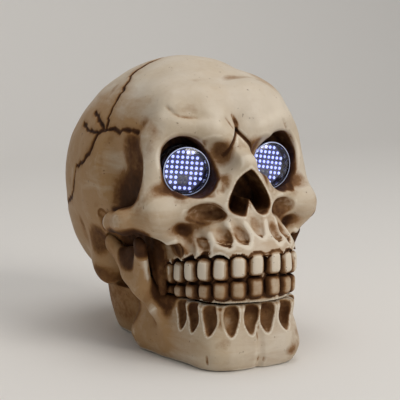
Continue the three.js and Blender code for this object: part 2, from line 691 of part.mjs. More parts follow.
function post(x, y, z, diameter, height, sides = 12) {
  const g = new THREE.CylinderGeometry(diameter / 2, diameter / 2, height, sides);
  return solid(g.rotateX(Math.PI / 2).translate(x, y, z + height / 2));
}

function pinAlongX(x, y, z, diameter, length, sides = 12) {
  const g = new THREE.CylinderGeometry(diameter / 2, diameter / 2, length, sides);
  return solid(g.rotateZ(Math.PI / 2).translate(x, y, z));
}

function eggSolid({ y, z, half }, around, along) {
  const g = new THREE.SphereGeometry(1, around, along).rotateX(Math.PI / 2);
  return solid(g.scale(...half).translate(0, y, z));
}

function turned(profile, sides) {
  const points = [...profile, profile[0]].map(([r, h]) => new THREE.Vector2(r, h));
  return solid(new THREE.LatheGeometry(points, sides));
}

function ringOf(diameter, sides) {
  return Array.from({ length: sides }, (_, i) => {
    const a = (i / sides) * 2 * Math.PI;
    return new THREE.Vector2(Math.cos(a), Math.sin(a)).multiplyScalar(diameter / 2);
  });
}

function wire(points, diameter, steps) {
  const path = new THREE.CatmullRomCurve3(points.map((p) => new THREE.Vector3(...p)));
  return new THREE.ExtrudeGeometry(new THREE.Shape(ringOf(diameter, 5)), { steps, extrudePath: path });
}

// Space round each casting that its skin is sought in, past the most that a blend can swell
const SWELL = 8;
const strandHalfX = Math.max(...FACE_STRANDS.flatMap((f) => f.points.map((p, i) => p[0] + f.radii[i])));
const topZ = Math.max(FRONTAL.z + FRONTAL.halfHeight, OCCIPUT.z + OCCIPUT.halfHeight) + SWELL;
const footZ = Math.min(NUCHAL.z - NUCHAL.halfHeight, NECK_SEAM_Z) - SWELL;
const rearY = Math.max(OCCIPUT.y + OCCIPUT.halfLength, NUCHAL.y + NUCHAL.halfLength) + SWELL;
const frontY = Math.min(ARCH_Y - ARCH_LENGTH, FRONTAL.y - FRONTAL.halfLength) - SWELL;
const sideX = Math.max(FRONTAL.halfWidth, OCCIPUT.halfWidth, NUCHAL.halfWidth, strandHalfX) + SWELL;
const jawX = Math.max(JAW_REAR_HALF_WIDTH, NECK_TOP[0], CONDYLE[0], CORONOID[0]) + STRUT_RADIUS + SWELL;
const jawRearY = Math.max(NECK_Y + NECK_TOP[1], CONDYLE[1] + STRUT_RADIUS) + SWELL;
const jawTopZ = Math.max(CONDYLE[2], CORONOID[2], JAW_RIM_Z + JAW_REAR_RISE) + STRUT_RADIUS + SWELL;
const jawSpace = [[-jawX, JAW_FRONT_Y - SWELL, -SWELL], [jawX, jawRearY, jawTopZ]];
const craniumSpace = [[-sideX, frontY, footZ], [sideX, rearY, topZ]];
const REACH = 2 * (rearY - frontY);

// Castings
const jawOuter = solid(retopologise(skin(jawForm, ...jawSpace, 1.6), JAW_FACETS));
const roomForm = (x, y, z) => jawForm(x, y, z) - JAW_CLEARANCE;
const jawRoom = solid(retopologise(skin(roomForm, ...jawSpace, 2), CLEARANCE_FACETS));
const craniumOuter = solid(retopologise(skin(craniumForm, ...craniumSpace, 1.5), CRANIUM_FACETS));

// Eye frames: local Y looks out of the face, local X to the right of someone facing it
function eyeFrame(x, yaw) {
  const a = THREE.MathUtils.degToRad(yaw);
  const right = new THREE.Vector3(Math.cos(a), Math.sin(a), 0);
  const out = new THREE.Vector3(Math.sin(a), -Math.cos(a), 0);
  const m = new THREE.Matrix4().makeBasis(right, out, new THREE.Vector3(0, 0, -1));
  return m.setPosition(x, EYE_Y, EYE_Z);
}
const EYES = { right: eyeFrame(-EYE_X, EYE_YAW_RIGHT), left: eyeFrame(EYE_X, EYE_YAW_LEFT) };
const placed = (form, frame) => form.transform(frame.elements);

function eyeBore(frame) {
  const seat = turned([[0, 4], [LENS_D / 2 + 0.8, 4], [LENS_D / 2 + 0.8, -SEAT_AT], [0, -SEAT_AT]], EYE_SIDES);
  const bore = MATRIX_D / 2 + FIT;
  const hole = turned([[0, 0], [bore, 0], [bore, -SEAT_AT - 26], [0, -SEAT_AT - 26]], EYE_SIDES);
  return placed(add(seat, hole), frame);
}

const neckBore = solid(
  new THREE.CylinderGeometry(1, 1, 50, 20).rotateX(Math.PI / 2).scale(NECK_BORE[0], NECK_BORE[1], 1)
    .translate(0, NECK_Y, NECK_SEAM_Z + 10),
);
const neckFrontY = NECK_Y - NECK_TOP[1] + NECK_LAP;
const cranium = cut(
  craniumOuter,
  block(0, 0, -REACH, REACH, REACH, REACH + NECK_SEAM_Z + FIT),
  eggSolid(BRAIN_HOLLOW, 16, 9),
  eggSolid(PALATE_HOLLOW, 10, 6),
  neckBore,
  eyeBore(EYES.right),
  eyeBore(EYES.left),
  cut(jawRoom, block(0, neckFrontY + REACH / 2, NECK_SEAM_Z + FIT, REACH, REACH, ROOM_LIFT)),
);

// Outline of the battery box flange, and of its recess when grown by a clearance
function flangeShape(grow) {
  const fx = FLANGE_HALF_X + grow;
  const fy = FLANGE_HALF_Y + grow;
  const tx = TAB_HALF_X + grow;
  const t0 = TAB_AT - TAB_HALF_LENGTH - grow;
  const t1 = TAB_AT + TAB_HALF_LENGTH + grow;
  const half = [[fx, BOX_Y - fy], [fx, t0], [tx, t0], [tx, t1], [fx, t1], [fx, BOX_Y + fy]];
  const whole = [...half, ...half.map(([x, y]) => [-x, y]).reverse()];
  return new THREE.Shape(whole.map(([x, y]) => new THREE.Vector2(x, y)));
}
const plate = (shape, z, height) =>
  solid(new THREE.ExtrudeGeometry(shape, { depth: height, bevelEnabled: false }).translate(0, 0, z));

const boxOuterX = MOUTH_HALF_X + BOX_WALL;
const boxOuterY = MOUTH_HALF_Y + BOX_WALL;
const screwXs = [-BOX_SCREW.x, BOX_SCREW.x];
const jawBase = cut(
  jawOuter,
  block(0, 0, -REACH, REACH, REACH, REACH),
  plate(flangeShape(FIT), -1, DOOR_Z + DOOR_THICKNESS + FIT + 1),
  block(0, BOX_Y, -1, 2 * (boxOuterX + FIT), 2 * (boxOuterY + FIT), FLOOR + 3),
  ...screwXs.map((x) => post(x, BOX_SCREW.y, 1, BOX_SCREW.shankD + 2 * FIT, BOX_SCREW.tip + FIT - 1)),
  block(0, SWITCH_Y, -1, SWITCH_POCKET[0], SWITCH_POCKET[1], SWITCH_POCKET[2] + 1),
  block(0, SWITCH_Y, 0, KNOB_TRAVEL + STEM + 2 * FIT, STEM + 2 * FIT, FLOOR + 2),
);

// Battery box with its mouth downwards, two posts for the board and three wire holes in its roof
const boxHeight = BOX_TOP - DOOR_Z;
const roofHoles = [[-CELL_PITCH, BOX_Y - ROOF_HOLE_AT], [CELL_PITCH, BOX_Y + ROOF_HOLE_AT]];
const batteryBox = cut(
  add(
    plate(flangeShape(0), DOOR_Z, DOOR_THICKNESS),
    block(0, BOX_Y, DOOR_Z, 2 * boxOuterX, 2 * boxOuterY, boxHeight),
    ...POSTS.map(([x, y]) => post(x, y, BOX_TOP - 0.5, POST_D, POST_HEIGHT + 0.5)),
  ),
  block(0, BOX_Y, DOOR_Z - 1, 2 * MOUTH_HALF_X, 2 * MOUTH_HALF_Y, boxHeight - BOX_WALL + 1),
  pinAlongX(0, HINGE_Y, HINGE_Z, PIN_D + 2 * FIT, 2 * (MOUTH_HALF_X + PIN_LENGTH)),
  post(0, BOX_Y + MOUTH_HALF_Y, DOOR_Z - 1, 13, 2.2),
  ...screwXs.map((x) => post(x, BOX_SCREW.y, DOOR_Z - 1, BOX_SCREW.headD + 2 * FIT, BOX_SCREW.head + FIT + 1)),
  ...screwXs.map((x) => post(x, BOX_SCREW.y, DOOR_Z, BOX_SCREW.shankD + 2 * FIT, DOOR_THICKNESS + 1)),
  ...POSTS.map(([x, y]) => post(x, y, BOX_TOP, BOARD_SCREW.shankD + 2 * FIT, POST_HEIGHT + 1, 8)),
  ...roofHoles.map(([x, y]) => post(x, y, BOX_TOP - 4, WIRE_D + 2 * FIT, 6, 8)),
);

// Door: a flat plate with a barrel along its front edge and a pin at each end
const doorFrontY = HINGE_Y;
const doorRearY = BOX_Y + MOUTH_HALF_Y - FIT;
const doorHalfX = MOUTH_HALF_X - FIT;
const batteryDoor = add(
  block(0, (doorFrontY + doorRearY) / 2, DOOR_Z, 2 * doorHalfX, doorRearY - doorFrontY, DOOR_THICKNESS),
  pinAlongX(0, HINGE_Y, HINGE_Z, DOOR_THICKNESS, 2 * doorHalfX, 20),
  pinAlongX(0, HINGE_Y, HINGE_Z, PIN_D, 2 * (MOUTH_HALF_X + PIN_LENGTH - FIT), 12),
);

function cell(x, front) {
  const r = CELL_D / 2;
  const body = CELL_LENGTH - CELL_NUB[1];
  const nub = CELL_NUB[0] / 2;
  const profile = [[0, 0], [r, 0], [r, body], [nub, body], [nub, CELL_LENGTH], [0, CELL_LENGTH]];
  const points = [...profile, profile[0]].map(([a, h]) => new THREE.Vector2(a, h - CELL_LENGTH / 2));
  const g = new THREE.LatheGeometry(points, 12);
  if (front) g.rotateX(Math.PI);
  return g.translate(x, BOX_Y, CELL_Z);
}

// Contact plates on the end walls; a raised pad stands for the spring on each negative end
function contact(cells, end, negatives) {
  const y = BOX_Y + end * (MOUTH_HALF_Y - 0.2 - CONTACT / 2);
  const xs = cells.map((c) => (c - 1) * CELL_PITCH);
  const width = Math.max(...xs) - Math.min(...xs) + 8;
  const sheet = block((Math.max(...xs) + Math.min(...xs)) / 2, y, CELL_Z - 3.6, width, CONTACT, 7.2);
  const pads = negatives.map((c) => {
    const g = new THREE.CylinderGeometry(1.6, 2.6, 1.0, 12);
    if (end > 0) g.rotateX(Math.PI);
    return solid(g.translate((c - 1) * CELL_PITCH, y - end * 0.35, CELL_Z));
  });
  return add(sheet, ...pads);
}

// Screws along Z with the head at the low or the high end
function screw(x, y, head, shankEnd, spec) {
  const up = Math.sign(shankEnd - head);
  const r = spec.headD / 2;
  const s = spec.shankD / 2;
  const length = Math.abs(shankEnd - head);
  const bodyForm = turned([[0, 0], [r, 0], [r, spec.head], [s, spec.head], [s, length], [0, length]], 10);
  const slot = solid(new THREE.BoxGeometry(spec.headD * 0.7, 1, 0.6));
  const g = geometryOf(cut(bodyForm, slot)).rotateX((up * Math.PI) / 2);
  return g.translate(x, y, head);
}

const boardTop = BOARD_Z + BOARD[2];
const holesY = BOX_Y + WIRE_HOLE_AT;
const HOLES = { red: [-9, BOX_Y - WIRE_HOLE_AT], back: [0, holesY], harnessRight: [-6.5, holesY], harnessLeft: [5, holesY] };
const controllerBoard = cut(
  block(0, BOX_Y, BOARD_Z, ...BOARD),
  ...POSTS.map(([x, y]) => post(x, y, BOARD_Z - 1, BOARD_SCREW.shankD + 2 * FIT, 4, 8)),
  post(...HOLES.red, BOARD_Z - 1, WIRE_D + 2 * FIT, 4, 8),
  post(...HOLES.back, BOARD_Z - 1, WIRE_D + 2 * FIT, 4, 8),
  post(...HOLES.harnessRight, BOARD_Z - 1, HARNESS_D + 2 * FIT, 4, 8),
  post(...HOLES.harnessLeft, BOARD_Z - 1, HARNESS_D + 2 * FIT, 4, 8),
);

// Switch body with a slot under it for the stem of the knob
const switchZ = FLOOR + FIT;
const switchBody = cut(
  block(0, SWITCH_Y, switchZ, ...SWITCH_BODY),
  block(0, SWITCH_Y, switchZ - 1, KNOB_TRAVEL + STEM + 2 * FIT, STEM + 2 * FIT, 4),
);
const knobX = KNOB_TRAVEL / 2;
const switchKnob = cut(
  add(
    block(knobX, SWITCH_Y, KNOB_Z, ...KNOB),
    block(knobX, SWITCH_Y, KNOB_Z + KNOB[2] - 0.5, STEM, STEM, switchZ + 2.4 - KNOB_Z - KNOB[2]),
  ),
  ...[-1.5, 0, 1.5].map((x) => block(knobX + x, SWITCH_Y, KNOB_Z - 0.6, 0.7, KNOB[1] + 1, 1.1)),
);

// One eye: cap, matrix and cup in eye coordinates, where depth counts down from zero at the rim
const lensR = LENS_D / 2;
const dome = [0, 0.5, 0.8, 1];
const lens = turned(
  [
    ...dome.map((t) => [(lensR - 0.5) * t, LENS_BULGE * (1 - t * t)]),
    [lensR, -0.5],
    [lensR, -LENS_SKIRT],
    [lensR - LENS_WALL, -LENS_SKIRT],
    ...dome.toReversed().map((t) => [(lensR - LENS_WALL) * t, LENS_BULGE * (1 - t * t) - LENS_WALL]),
  ],
  EYE_SIDES,
);
const dots = DOT_ROWS.flatMap((count, row) =>
  Array.from({ length: count }, (_, i) => [(i - (count - 1) / 2) * DOT_PITCH, (row - 3.5) * DOT_PITCH]),
);
function dotForm() {
  const ring = ringOf(DOT_D, 4);
  const g = new THREE.ExtrudeGeometry(new THREE.Shape(ring), { depth: DOT_HEIGHT + 0.5, bevelEnabled: false });
  return g.rotateX(Math.PI / 2);
}
const matrix = add(
  turned([[0, -MATRIX_SET], [MATRIX_D / 2, -MATRIX_SET], [MATRIX_D / 2, -SPIGOT_AT + FIT], [0, -SPIGOT_AT + FIT]], EYE_SIDES),
  ...dots.map(([x, z]) => solid(dotForm().translate(x, -MATRIX_SET + DOT_HEIGHT, z))),
);
const cupHole = CUP_HOLE_D / 2;
const cup = turned(
  [
    [cupHole, -SPIGOT_AT],
    [MATRIX_D / 2, -SPIGOT_AT],
    [MATRIX_D / 2, -SHOULDER_AT],
    [lensR, -SHOULDER_AT],
    [lensR, -SHOULDER_AT - SHOULDER],
    [MATRIX_D / 2, -SHOULDER_AT - SHOULDER],
    [MATRIX_D / 2, -SEAT_AT - CUP_TAIL],
    [cupHole, -SEAT_AT - CUP_TAIL],
  ],
  EYE_SIDES,
);

// Wires: each starts in a hole of the board and ends where it is soldered
function harness(side, hole, frame) {
  const inEye = (depth) => new THREE.Vector3(0, -depth, 0).applyMatrix4(frame).toArray();
  const [x, y] = hole;
  return wire(
    [
      [x, y, BOARD_Z - 1.2],
      [x, y, boardTop + 3],
      [x + side, y + 8, boardTop + 7],
      [side * 8, -4, 31],
      [side * 9, 8, 46],
      [side * 12, 6, 76],
      [side * 19, -12, 97],
      inEye(SEAT_AT + CUP_TAIL + 6),
      inEye(SPIGOT_AT + 1),
    ],
    HARNESS_D,
    20,
  );
}
const redLead = wire(
  [
    [roofHoles[0][0], roofHoles[0][1], BOX_TOP - 1],
    [roofHoles[0][0], roofHoles[0][1] - 1, BOX_TOP + 3],
    [HOLES.red[0] - 1, HOLES.red[1] - 6, boardTop + 3],
    [HOLES.red[0], HOLES.red[1], boardTop + 2.4],
    [HOLES.red[0], HOLES.red[1], BOARD_Z - 0.8],
  ],
  WIRE_D,
  12,
);
const switchTop = switchZ + SWITCH_BODY[2];
const blackLead = wire(
  [
    [roofHoles[1][0], roofHoles[1][1], BOX_TOP - 1],
    [roofHoles[1][0], roofHoles[1][1] + 1, BOX_TOP + 3],
    [9, -16, BOX_TOP + 1],
    [5, SWITCH_Y - 8, switchTop + 3],
    [4, SWITCH_Y, switchTop + 2],
    [4, SWITCH_Y, switchTop + FIT],
  ],
  WIRE_D,
  14,
);
const switchLead = wire(
  [
    [-4, SWITCH_Y, switchTop + FIT],
    [-4, SWITCH_Y, switchTop + 2],
    [-4, SWITCH_Y - 9, switchTop + 4],
    [-1, -22, boardTop + 3],
    [HOLES.back[0], HOLES.back[1] + 1, boardTop + 3.4],
    [...HOLES.back, boardTop + 1],
    [...HOLES.back, BOARD_Z - 0.8],
  ],
  WIRE_D,
  16,
);

// Colours
const finish = (color, roughness, metalness = 0) =>
  new THREE.MeshStandardMaterial({ color, roughness, metalness });
const RESIN = [0xd9c8a8, 0.48];
const BLACK = [0x17171a, 0.45];
const CLEAR = [0xdfe8f2, 0.08];
const LIT = [0xa9bcff, 0.35];
const BOARD_GREEN = [0x1f5a38, 0.5];
const CHIP_BLACK = [0x101012, 0.4];
const STEEL = [0xb9bcc0, 0.3, 0.9];
const CELL_WRAP = [0x2c5f8a, 0.35];
const RED_WIRE = [0xb02020, 0.5];
const BLACK_WIRE = [0x1b1b1d, 0.5];

const decoration = new THREE.Group();
decoration.name = "skull_decoration";
function put(name, form, look) {
  const geometry = form.isBufferGeometry ? form : geometryOf(form);
  const mesh = new THREE.Mesh(geometry, finish(...look));
  mesh.name = name;
  decoration.add(mesh);
}

put("cranium", cranium, RESIN);
put("jaw_base", jawBase, RESIN);
for (const [side, frame] of Object.entries(EYES)) {
  put(`eye_lens_${side}`, placed(lens, frame), CLEAR);
  put(`led_matrix_${side}`, placed(matrix, frame), LIT);
  put(`eye_cup_${side}`, placed(cup, frame), BLACK);
}
put("battery_box", batteryBox, BLACK);
put("battery_door", batteryDoor, BLACK);
[-1, 0, 1].forEach((i) => put(`battery_${i + 2}`, cell(i * CELL_PITCH, i !== 0), CELL_WRAP));
put("contact_positive", contact([0], -1, []), STEEL);
put("contact_bridge_rear", contact([0, 1], 1, [0]), STEEL);
put("contact_bridge_front", contact([1, 2], -1, [1]), STEEL);
put("contact_negative", contact([2], 1, [2]), STEEL);
put("controller_board", controllerBoard, BOARD_GREEN);
put("controller_chip", block(3, BOX_Y, boardTop + FIT, ...CHIP), CHIP_BLACK);
put("switch_body", switchBody, BLACK);
put("switch_knob", switchKnob, BLACK);
screwXs.forEach((x, i) => put(`box_screw_${i + 1}`, screw(x, BOX_SCREW.y, DOOR_Z, BOX_SCREW.tip, BOX_SCREW), STEEL));
POSTS.forEach(([x, y], i) => {
  const head = boardTop + FIT + BOARD_SCREW.head;
  put(`board_screw_${i + 1}`, screw(x, y, head, BOX_TOP + FIT, BOARD_SCREW), STEEL);
});
put("harness_right", harness(-1, HOLES.harnessRight, EYES.right), BLACK_WIRE);
put("harness_left", harness(1, HOLES.harnessLeft, EYES.left), BLACK_WIRE);
put("power_lead_red", redLead, RED_WIRE);
put("power_lead_black", blackLead, BLACK_WIRE);
put("switch_lead", switchLead, RED_WIRE);

// The frame's zero is the middle of the bottom of the whole
const bounds = new THREE.Box3().setFromObject(decoration);
const middle = bounds.getCenter(new THREE.Vector3());
decoration.position.set(-middle.x, -middle.y, -bounds.min.z);
decoration.updateMatrixWorld(true);

export default decoration;
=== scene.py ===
import math
import bmesh
import bpy
import numpy as np
from mathutils import Matrix, Vector


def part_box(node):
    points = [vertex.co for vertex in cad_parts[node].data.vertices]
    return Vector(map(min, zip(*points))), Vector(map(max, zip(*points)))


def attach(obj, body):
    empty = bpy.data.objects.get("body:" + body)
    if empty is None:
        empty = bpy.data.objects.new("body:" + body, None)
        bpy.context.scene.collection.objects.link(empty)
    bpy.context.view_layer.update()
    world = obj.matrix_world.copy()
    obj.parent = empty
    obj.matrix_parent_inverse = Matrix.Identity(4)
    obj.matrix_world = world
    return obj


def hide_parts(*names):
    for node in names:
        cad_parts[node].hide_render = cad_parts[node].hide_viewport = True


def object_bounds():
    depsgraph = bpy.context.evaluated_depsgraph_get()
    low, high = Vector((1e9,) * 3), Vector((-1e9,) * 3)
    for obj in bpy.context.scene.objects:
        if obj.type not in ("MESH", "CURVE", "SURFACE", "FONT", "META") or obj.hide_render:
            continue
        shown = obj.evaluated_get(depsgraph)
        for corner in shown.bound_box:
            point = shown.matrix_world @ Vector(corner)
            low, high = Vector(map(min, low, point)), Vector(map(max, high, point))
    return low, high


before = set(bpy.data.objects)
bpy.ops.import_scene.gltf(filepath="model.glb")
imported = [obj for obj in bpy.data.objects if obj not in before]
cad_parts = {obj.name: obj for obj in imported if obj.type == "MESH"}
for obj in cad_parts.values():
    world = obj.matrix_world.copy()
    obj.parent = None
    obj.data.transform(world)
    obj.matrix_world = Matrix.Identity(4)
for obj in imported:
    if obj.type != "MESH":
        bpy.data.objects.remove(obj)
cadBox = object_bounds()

scene = bpy.context.scene
mm = 0.001
switchY = 4  # the switch stands at x 0 and this y of the sculpting frame
switchLow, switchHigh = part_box("switch_body")
shift = np.array([  # from the sculpting frame to the model's, in millimetres
    (switchLow[0] + switchHigh[0]) / 2 / mm, (switchLow[1] + switchHigh[1]) / 2 / mm - switchY, 0.0,
])

# camera and studio
view = {
    "azimuth": -28, "elevation": 9, "distance": 740, "target": (0, 0, 77),
    "lens": 115.8, "sensor": 36, "shiftX": 0.0488,
}
az, el = math.radians(view["azimuth"]), math.radians(view["elevation"])
away = Vector((math.sin(az) * math.cos(el), -math.cos(az) * math.cos(el), math.sin(el)))
camera = bpy.data.objects.new("camera", bpy.data.cameras.new("camera"))
camera.data.lens = view["lens"]
camera.data.sensor_width = view["sensor"]
camera.data.shift_x = view["shiftX"]
camera.data.clip_start = 0.01
camera.location = Vector((shift + view["target"]) * mm) + away * view["distance"] * mm
camera.rotation_euler = (-away).to_track_quat("-Z", "Y").to_euler()
scene.collection.objects.link(camera)
scene.camera = camera
scene.view_settings.view_transform = "Standard"

studio = {
    "world": (0.95, 0.95, 0.95), "worldStrength": 0.27,
    "floor": (0.80, 0.785, 0.76), "floorRough": 0.75, "floorGap": 0.0004,
}
lamps = [  # name, place, aimed at, size, watts, colour
    ("keyLamp", (0.38, -1.05, 0.85), (0, 0, 0.08), 0.6, 7.8, (1.0, 0.955, 0.9)),
    ("topLamp", (0.2, 0.0, 1.3), (0, 0, 0.08), 0.9, 2.4, (1.0, 0.97, 0.94)),
    ("wallLamp", (0.0, -0.1, 1.7), (0, 1.2, 0.35), 1.2, 7, (1.0, 0.97, 0.94)),
]
world = bpy.data.worlds.new("studio")
scene.world = world
world.use_nodes = True
background = world.node_tree.nodes["Background"].inputs
background["Color"].default_value = (*studio["world"], 1)
background["Strength"].default_value = studio["worldStrength"]
for name, place, aim, size, watts, colour in lamps:
    lamp = bpy.data.lights.new(name, "AREA")
    lamp.size, lamp.energy, lamp.color = size, watts, colour
    lampObject = bpy.data.objects.new(name, lamp)
    lampObject.location = place
    lampObject.rotation_euler = (Vector(aim) - Vector(place)).to_track_quat("-Z", "Y").to_euler()
    scene.collection.objects.link(lampObject)


def newMaterial(name):
    material = bpy.data.materials.new(name)
    material.use_nodes = True
    tree = material.node_tree
    where = tree.nodes.new("ShaderNodeTexCoord").outputs["Object"]
    return material, tree, tree.nodes["Principled BSDF"], where


def feed(tree, node, values):  # numbers, colours or outputs of other nodes, by socket
    for at, value in values.items():
        if isinstance(value, (int, float)):
            node.inputs[at].default_value = value
        elif isinstance(value, tuple):
            node.inputs[at].default_value = (*value, 1)
        else:
            tree.links.new(value, node.inputs[at])


# pale floor that bends up into a backdrop
sweep = {"halfWidth": 3.5, "front": -3.0, "rear": 0.75, "bend": 0.5, "top": 2.4, "steps": 16}
line = [(sweep["front"], 0.0), (sweep["rear"], 0.0)]
for i in range(1, sweep["steps"] + 1):
    a = math.pi / 2 * i / sweep["steps"]
    line.append((sweep["rear"] + sweep["bend"] * math.sin(a), sweep["bend"] * (1 - math.cos(a))))
line.append((sweep["rear"] + sweep["bend"], sweep["top"]))
floorMesh = bpy.data.meshes.new("floor")
floorMesh.from_pydata(
    [(x, y, z) for y, z in line for x in (-sweep["halfWidth"], sweep["halfWidth"])], [],
    [(2 * i, 2 * i + 1, 2 * i + 3, 2 * i + 2) for i in range(len(line) - 1)],
)
floorMesh.polygons.foreach_set("use_smooth", [True] * len(floorMesh.polygons))
floor = bpy.data.objects.new("floor", floorMesh)
floor.location.z = -studio["floorGap"]
scene.collection.objects.link(floor)
floorMaterial, floorTree, floorShader, _ = newMaterial("paleFloor")
feed(floorTree, floorShader, {"Base Color": studio["floor"], "Roughness": studio["floorRough"]})
floorMesh.materials.append(floorMaterial)
print("stage: camera, lamps and floor")


# clay: signed distances in millimetres on arrays of points, negative inside
farOff = 60.0


def mix(a, b, t):
    return a + (b - a) * t


def ramp(a, b, t):
    u = np.clip((t - a) / (b - a), 0, 1)
    return u * u * (3 - 2 * u)


def join(a, b, blend):
    h = np.maximum(blend - np.abs(a - b), 0) / blend
    return np.minimum(a, b) - h * h * blend / 4


def common(a, b, blend):
    return -join(-a, -b, blend)


def carve(a, b, blend):
    return -join(-a, b, blend)


def length(*parts):
    return np.sqrt(sum(p * p for p in parts))


def egg(x, y, z, centre, half):
    p = [(v - c) / h for v, c, h in zip((x, y, z), centre, half)]
    k0 = length(*p)
    k1 = length(*[v / h for v, h in zip(p, half)]) + 1e-6
    return np.where(k0 < 1e-3, -min(half), k0 * (k0 - 1) / k1)


def oval(x, y, halfX, halfY):
    k0 = length(x / halfX, y / halfY)
    k1 = length(x / (halfX * halfX), y / (halfY * halfY)) + 1e-6
    return np.where(k0 < 1e-3, -min(halfX, halfY), k0 * (k0 - 1) / k1)


def alongLine(x, y, z, a, b):  # share of the way from a to b, and the distance from the line
    d = [q - p for p, q in zip(a, b)]
    p = [v - q for v, q in zip((x, y, z), a)]
    t = np.clip((p[0] * d[0] + p[1] * d[1] + p[2] * d[2]) / sum(v * v for v in d), 0, 1)
    return t, length(*[v - w * t for v, w in zip(p, d)])


def nearest(x, y, z, line):
    return np.minimum.reduce([alongLine(x, y, z, a, b)[1] for a, b in zip(line, line[1:])])


def rod(x, y, z, a, b, radiusA, radiusB):
    t, gap = alongLine(x, y, z, a, b)
    return gap - mix(radiusA, radiusB, t)


def roundedBox(u, v, w, halfU, halfV, halfW, radius):
    qu, qv, qw = np.abs(u) - halfU + radius, np.abs(v) - halfV + radius, np.abs(w) - halfW + radius
    outside = length(np.maximum(qu, 0), np.maximum(qv, 0), np.maximum(qw, 0))
    return outside + np.minimum(np.maximum(np.maximum(qu, qv), qw), 0) - radius


# dental arch and the places of the teeth on it
arch = {"y": -46, "halfWidth": 33, "length": 49, "power": 2.5, "rear": -16, "points": 401}
toothRow = {
    "count": 7, "pitch": 10.25, "gap": 1.15, "first": 0.52,
    "gum": (63.6, 11), "bite": (50.6, 10), "lowerGum": (39, 6),  # height in front, fall to the back
    "curl": 1.3, "recess": 4.2,
    "upper": (3.6, 4.4, 3.0), "lower": (4.1, 4.2, 2.8),  # set back, half depth, rounding
    "inset": 0.25, "round": 0.06, "barrel": 0.011, "worn": (0.2, 0.9, 0.3, 0.7, 0.1, 0.8, 0.4),
}
toothHalf = (toothRow["pitch"] - toothRow["gap"]) / 2


def archPlan(s, y):
    u = s / arch["halfWidth"]
    v = np.maximum(arch["y"] - y, 0) / arch["length"]
    p = arch["power"]
    k = np.maximum((u**p + v**p) ** (1 / p), 1e-3)
    gx, gy = u ** (p - 1) / arch["halfWidth"], v ** (p - 1) / arch["length"]
    return np.where(k < 2e-3, -arch["halfWidth"], (k - 1) * k ** (p - 1) / (length(gx, gy) + 1e-7))


def stationsOnArch():  # x, y, way along the arch and share of the way back, of each tooth
    turns = np.linspace(0, math.pi / 2, arch["points"])
    x = arch["halfWidth"] * np.sin(turns) ** (2 / arch["power"])
    y = arch["y"] - arch["length"] * np.maximum(np.cos(turns), 0) ** (2 / arch["power"])
    points = np.stack([x, y], 1)
    steps = np.linalg.norm(np.diff(points, axis=0), axis=1)
    run = np.concatenate([[0], np.cumsum(steps)])
    found = []
    for i in range(toothRow["count"]):
        k = int(np.clip(np.searchsorted(run, toothRow["pitch"] * (i + toothRow["first"])), 1, len(steps)))
        t = (points[k] - points[k - 1]) / steps[k - 1]
        found.append((*points[k], t[0], t[1], i / (toothRow["count"] - 1)))
    return found


teethAt = stationsOnArch()


def rowZ(row, back):  # height of a gum or bite line, falling towards the back
    z, fall = toothRow[row]
    return z - fall * back ** toothRow["curl"]


def toothFrames(s, y):  # across, outward, gum, bite and lower gum of each tooth
    for tx, ty, ux, uy, back in teethAt:
        u = (s - tx) * ux + (y - ty) * uy
        w = (s - tx) * uy - (y - ty) * ux
        yield u, w, rowZ("gum", back), rowZ("bite", back), rowZ("lowerGum", back)


def gumScallop(s, y):  # 1 between two teeth, 0 over the middle of a tooth
    u = np.full_like(s, farOff)
    for tx, ty, ux, uy, _ in teethAt:
        beyond = np.maximum(length(s - tx, y - ty) - 9, 0)  # keeps other sides of the arch out
        u = np.minimum(u, np.abs((s - tx) * ux + (y - ty) * uy) + 3 * beyond)
    return np.clip(u / (toothRow["pitch"] / 2), 0, 1) ** 2


def teeth(s, y, z):
    d = np.full_like(s, farOff)
    for (u, w, gum, bite, low), worn in zip(toothFrames(s, y), toothRow["worn"]):
        w = w + toothRow["round"] * u * u
        upMid, upHalf = (gum + bite) / 2, (gum - bite) / 2 - toothRow["inset"]
        lowMid, lowHalf = (low + bite - worn) / 2, (bite - worn - low) / 2 - toothRow["inset"]
        upWide = toothHalf * (1 - 0.14 * np.clip((z - upMid) / upHalf, 0, 1))
        lowWide = toothHalf * (0.98 - 0.16 * np.clip((lowMid - z) / lowHalf, 0, 1))
        rows = ((upMid, upHalf, upWide, "upper"), (lowMid, lowHalf, lowWide, "lower"))
        for mid, high, wide, row in rows:
            setBack, halfDepth, rounding = toothRow[row]
            bulge = toothRow["barrel"] * (z - mid) ** 2
            d = np.minimum(d, roundedBox(u, z - mid, w + setBack + bulge, wide, high, halfDepth, rounding))
    return d


# upper casting: braincase, face and both rows of teeth
skull = {
    "frontal": ((0, -9, 99), (55, 56, 61)),
    "occiput": ((0, 26, 89), (55.5, 54, 58)),
    "nuchal": ((0, 35, 59), (43, 40, 33)),
    "orbit": (26.9, 104.9, 14.3, 15.4, 12.0),  # x, z, half width, half height, depth
    "eyeY": -56, "eyeZ": 102, "orbitTilt": 0.2,
    "noseTop": (2.4, 106.5), "noseBase": (12.6, 88),  # half width, z
    "noseFloor": 80.5, "noseRear": -60, "spineZ": 88.5, "noseLip": 0.7, "lipWidth": 1.6,
    "seamZ": 29.3, "jawRoom": 1.1,
}
faceEggs = [  # centre, half sizes, blend
    ((0, -50, 86), (37, 25, 30), 12),
    ((22, -27, 125), (22, 22, 18), 14),
    ((18, -36, 134), (21, 17, 14.5), 10),
    ((42, -48, 101), (5.2, 8, 21), 7),
    ((41, 8, 45), (10, 13, 14), 8),
]
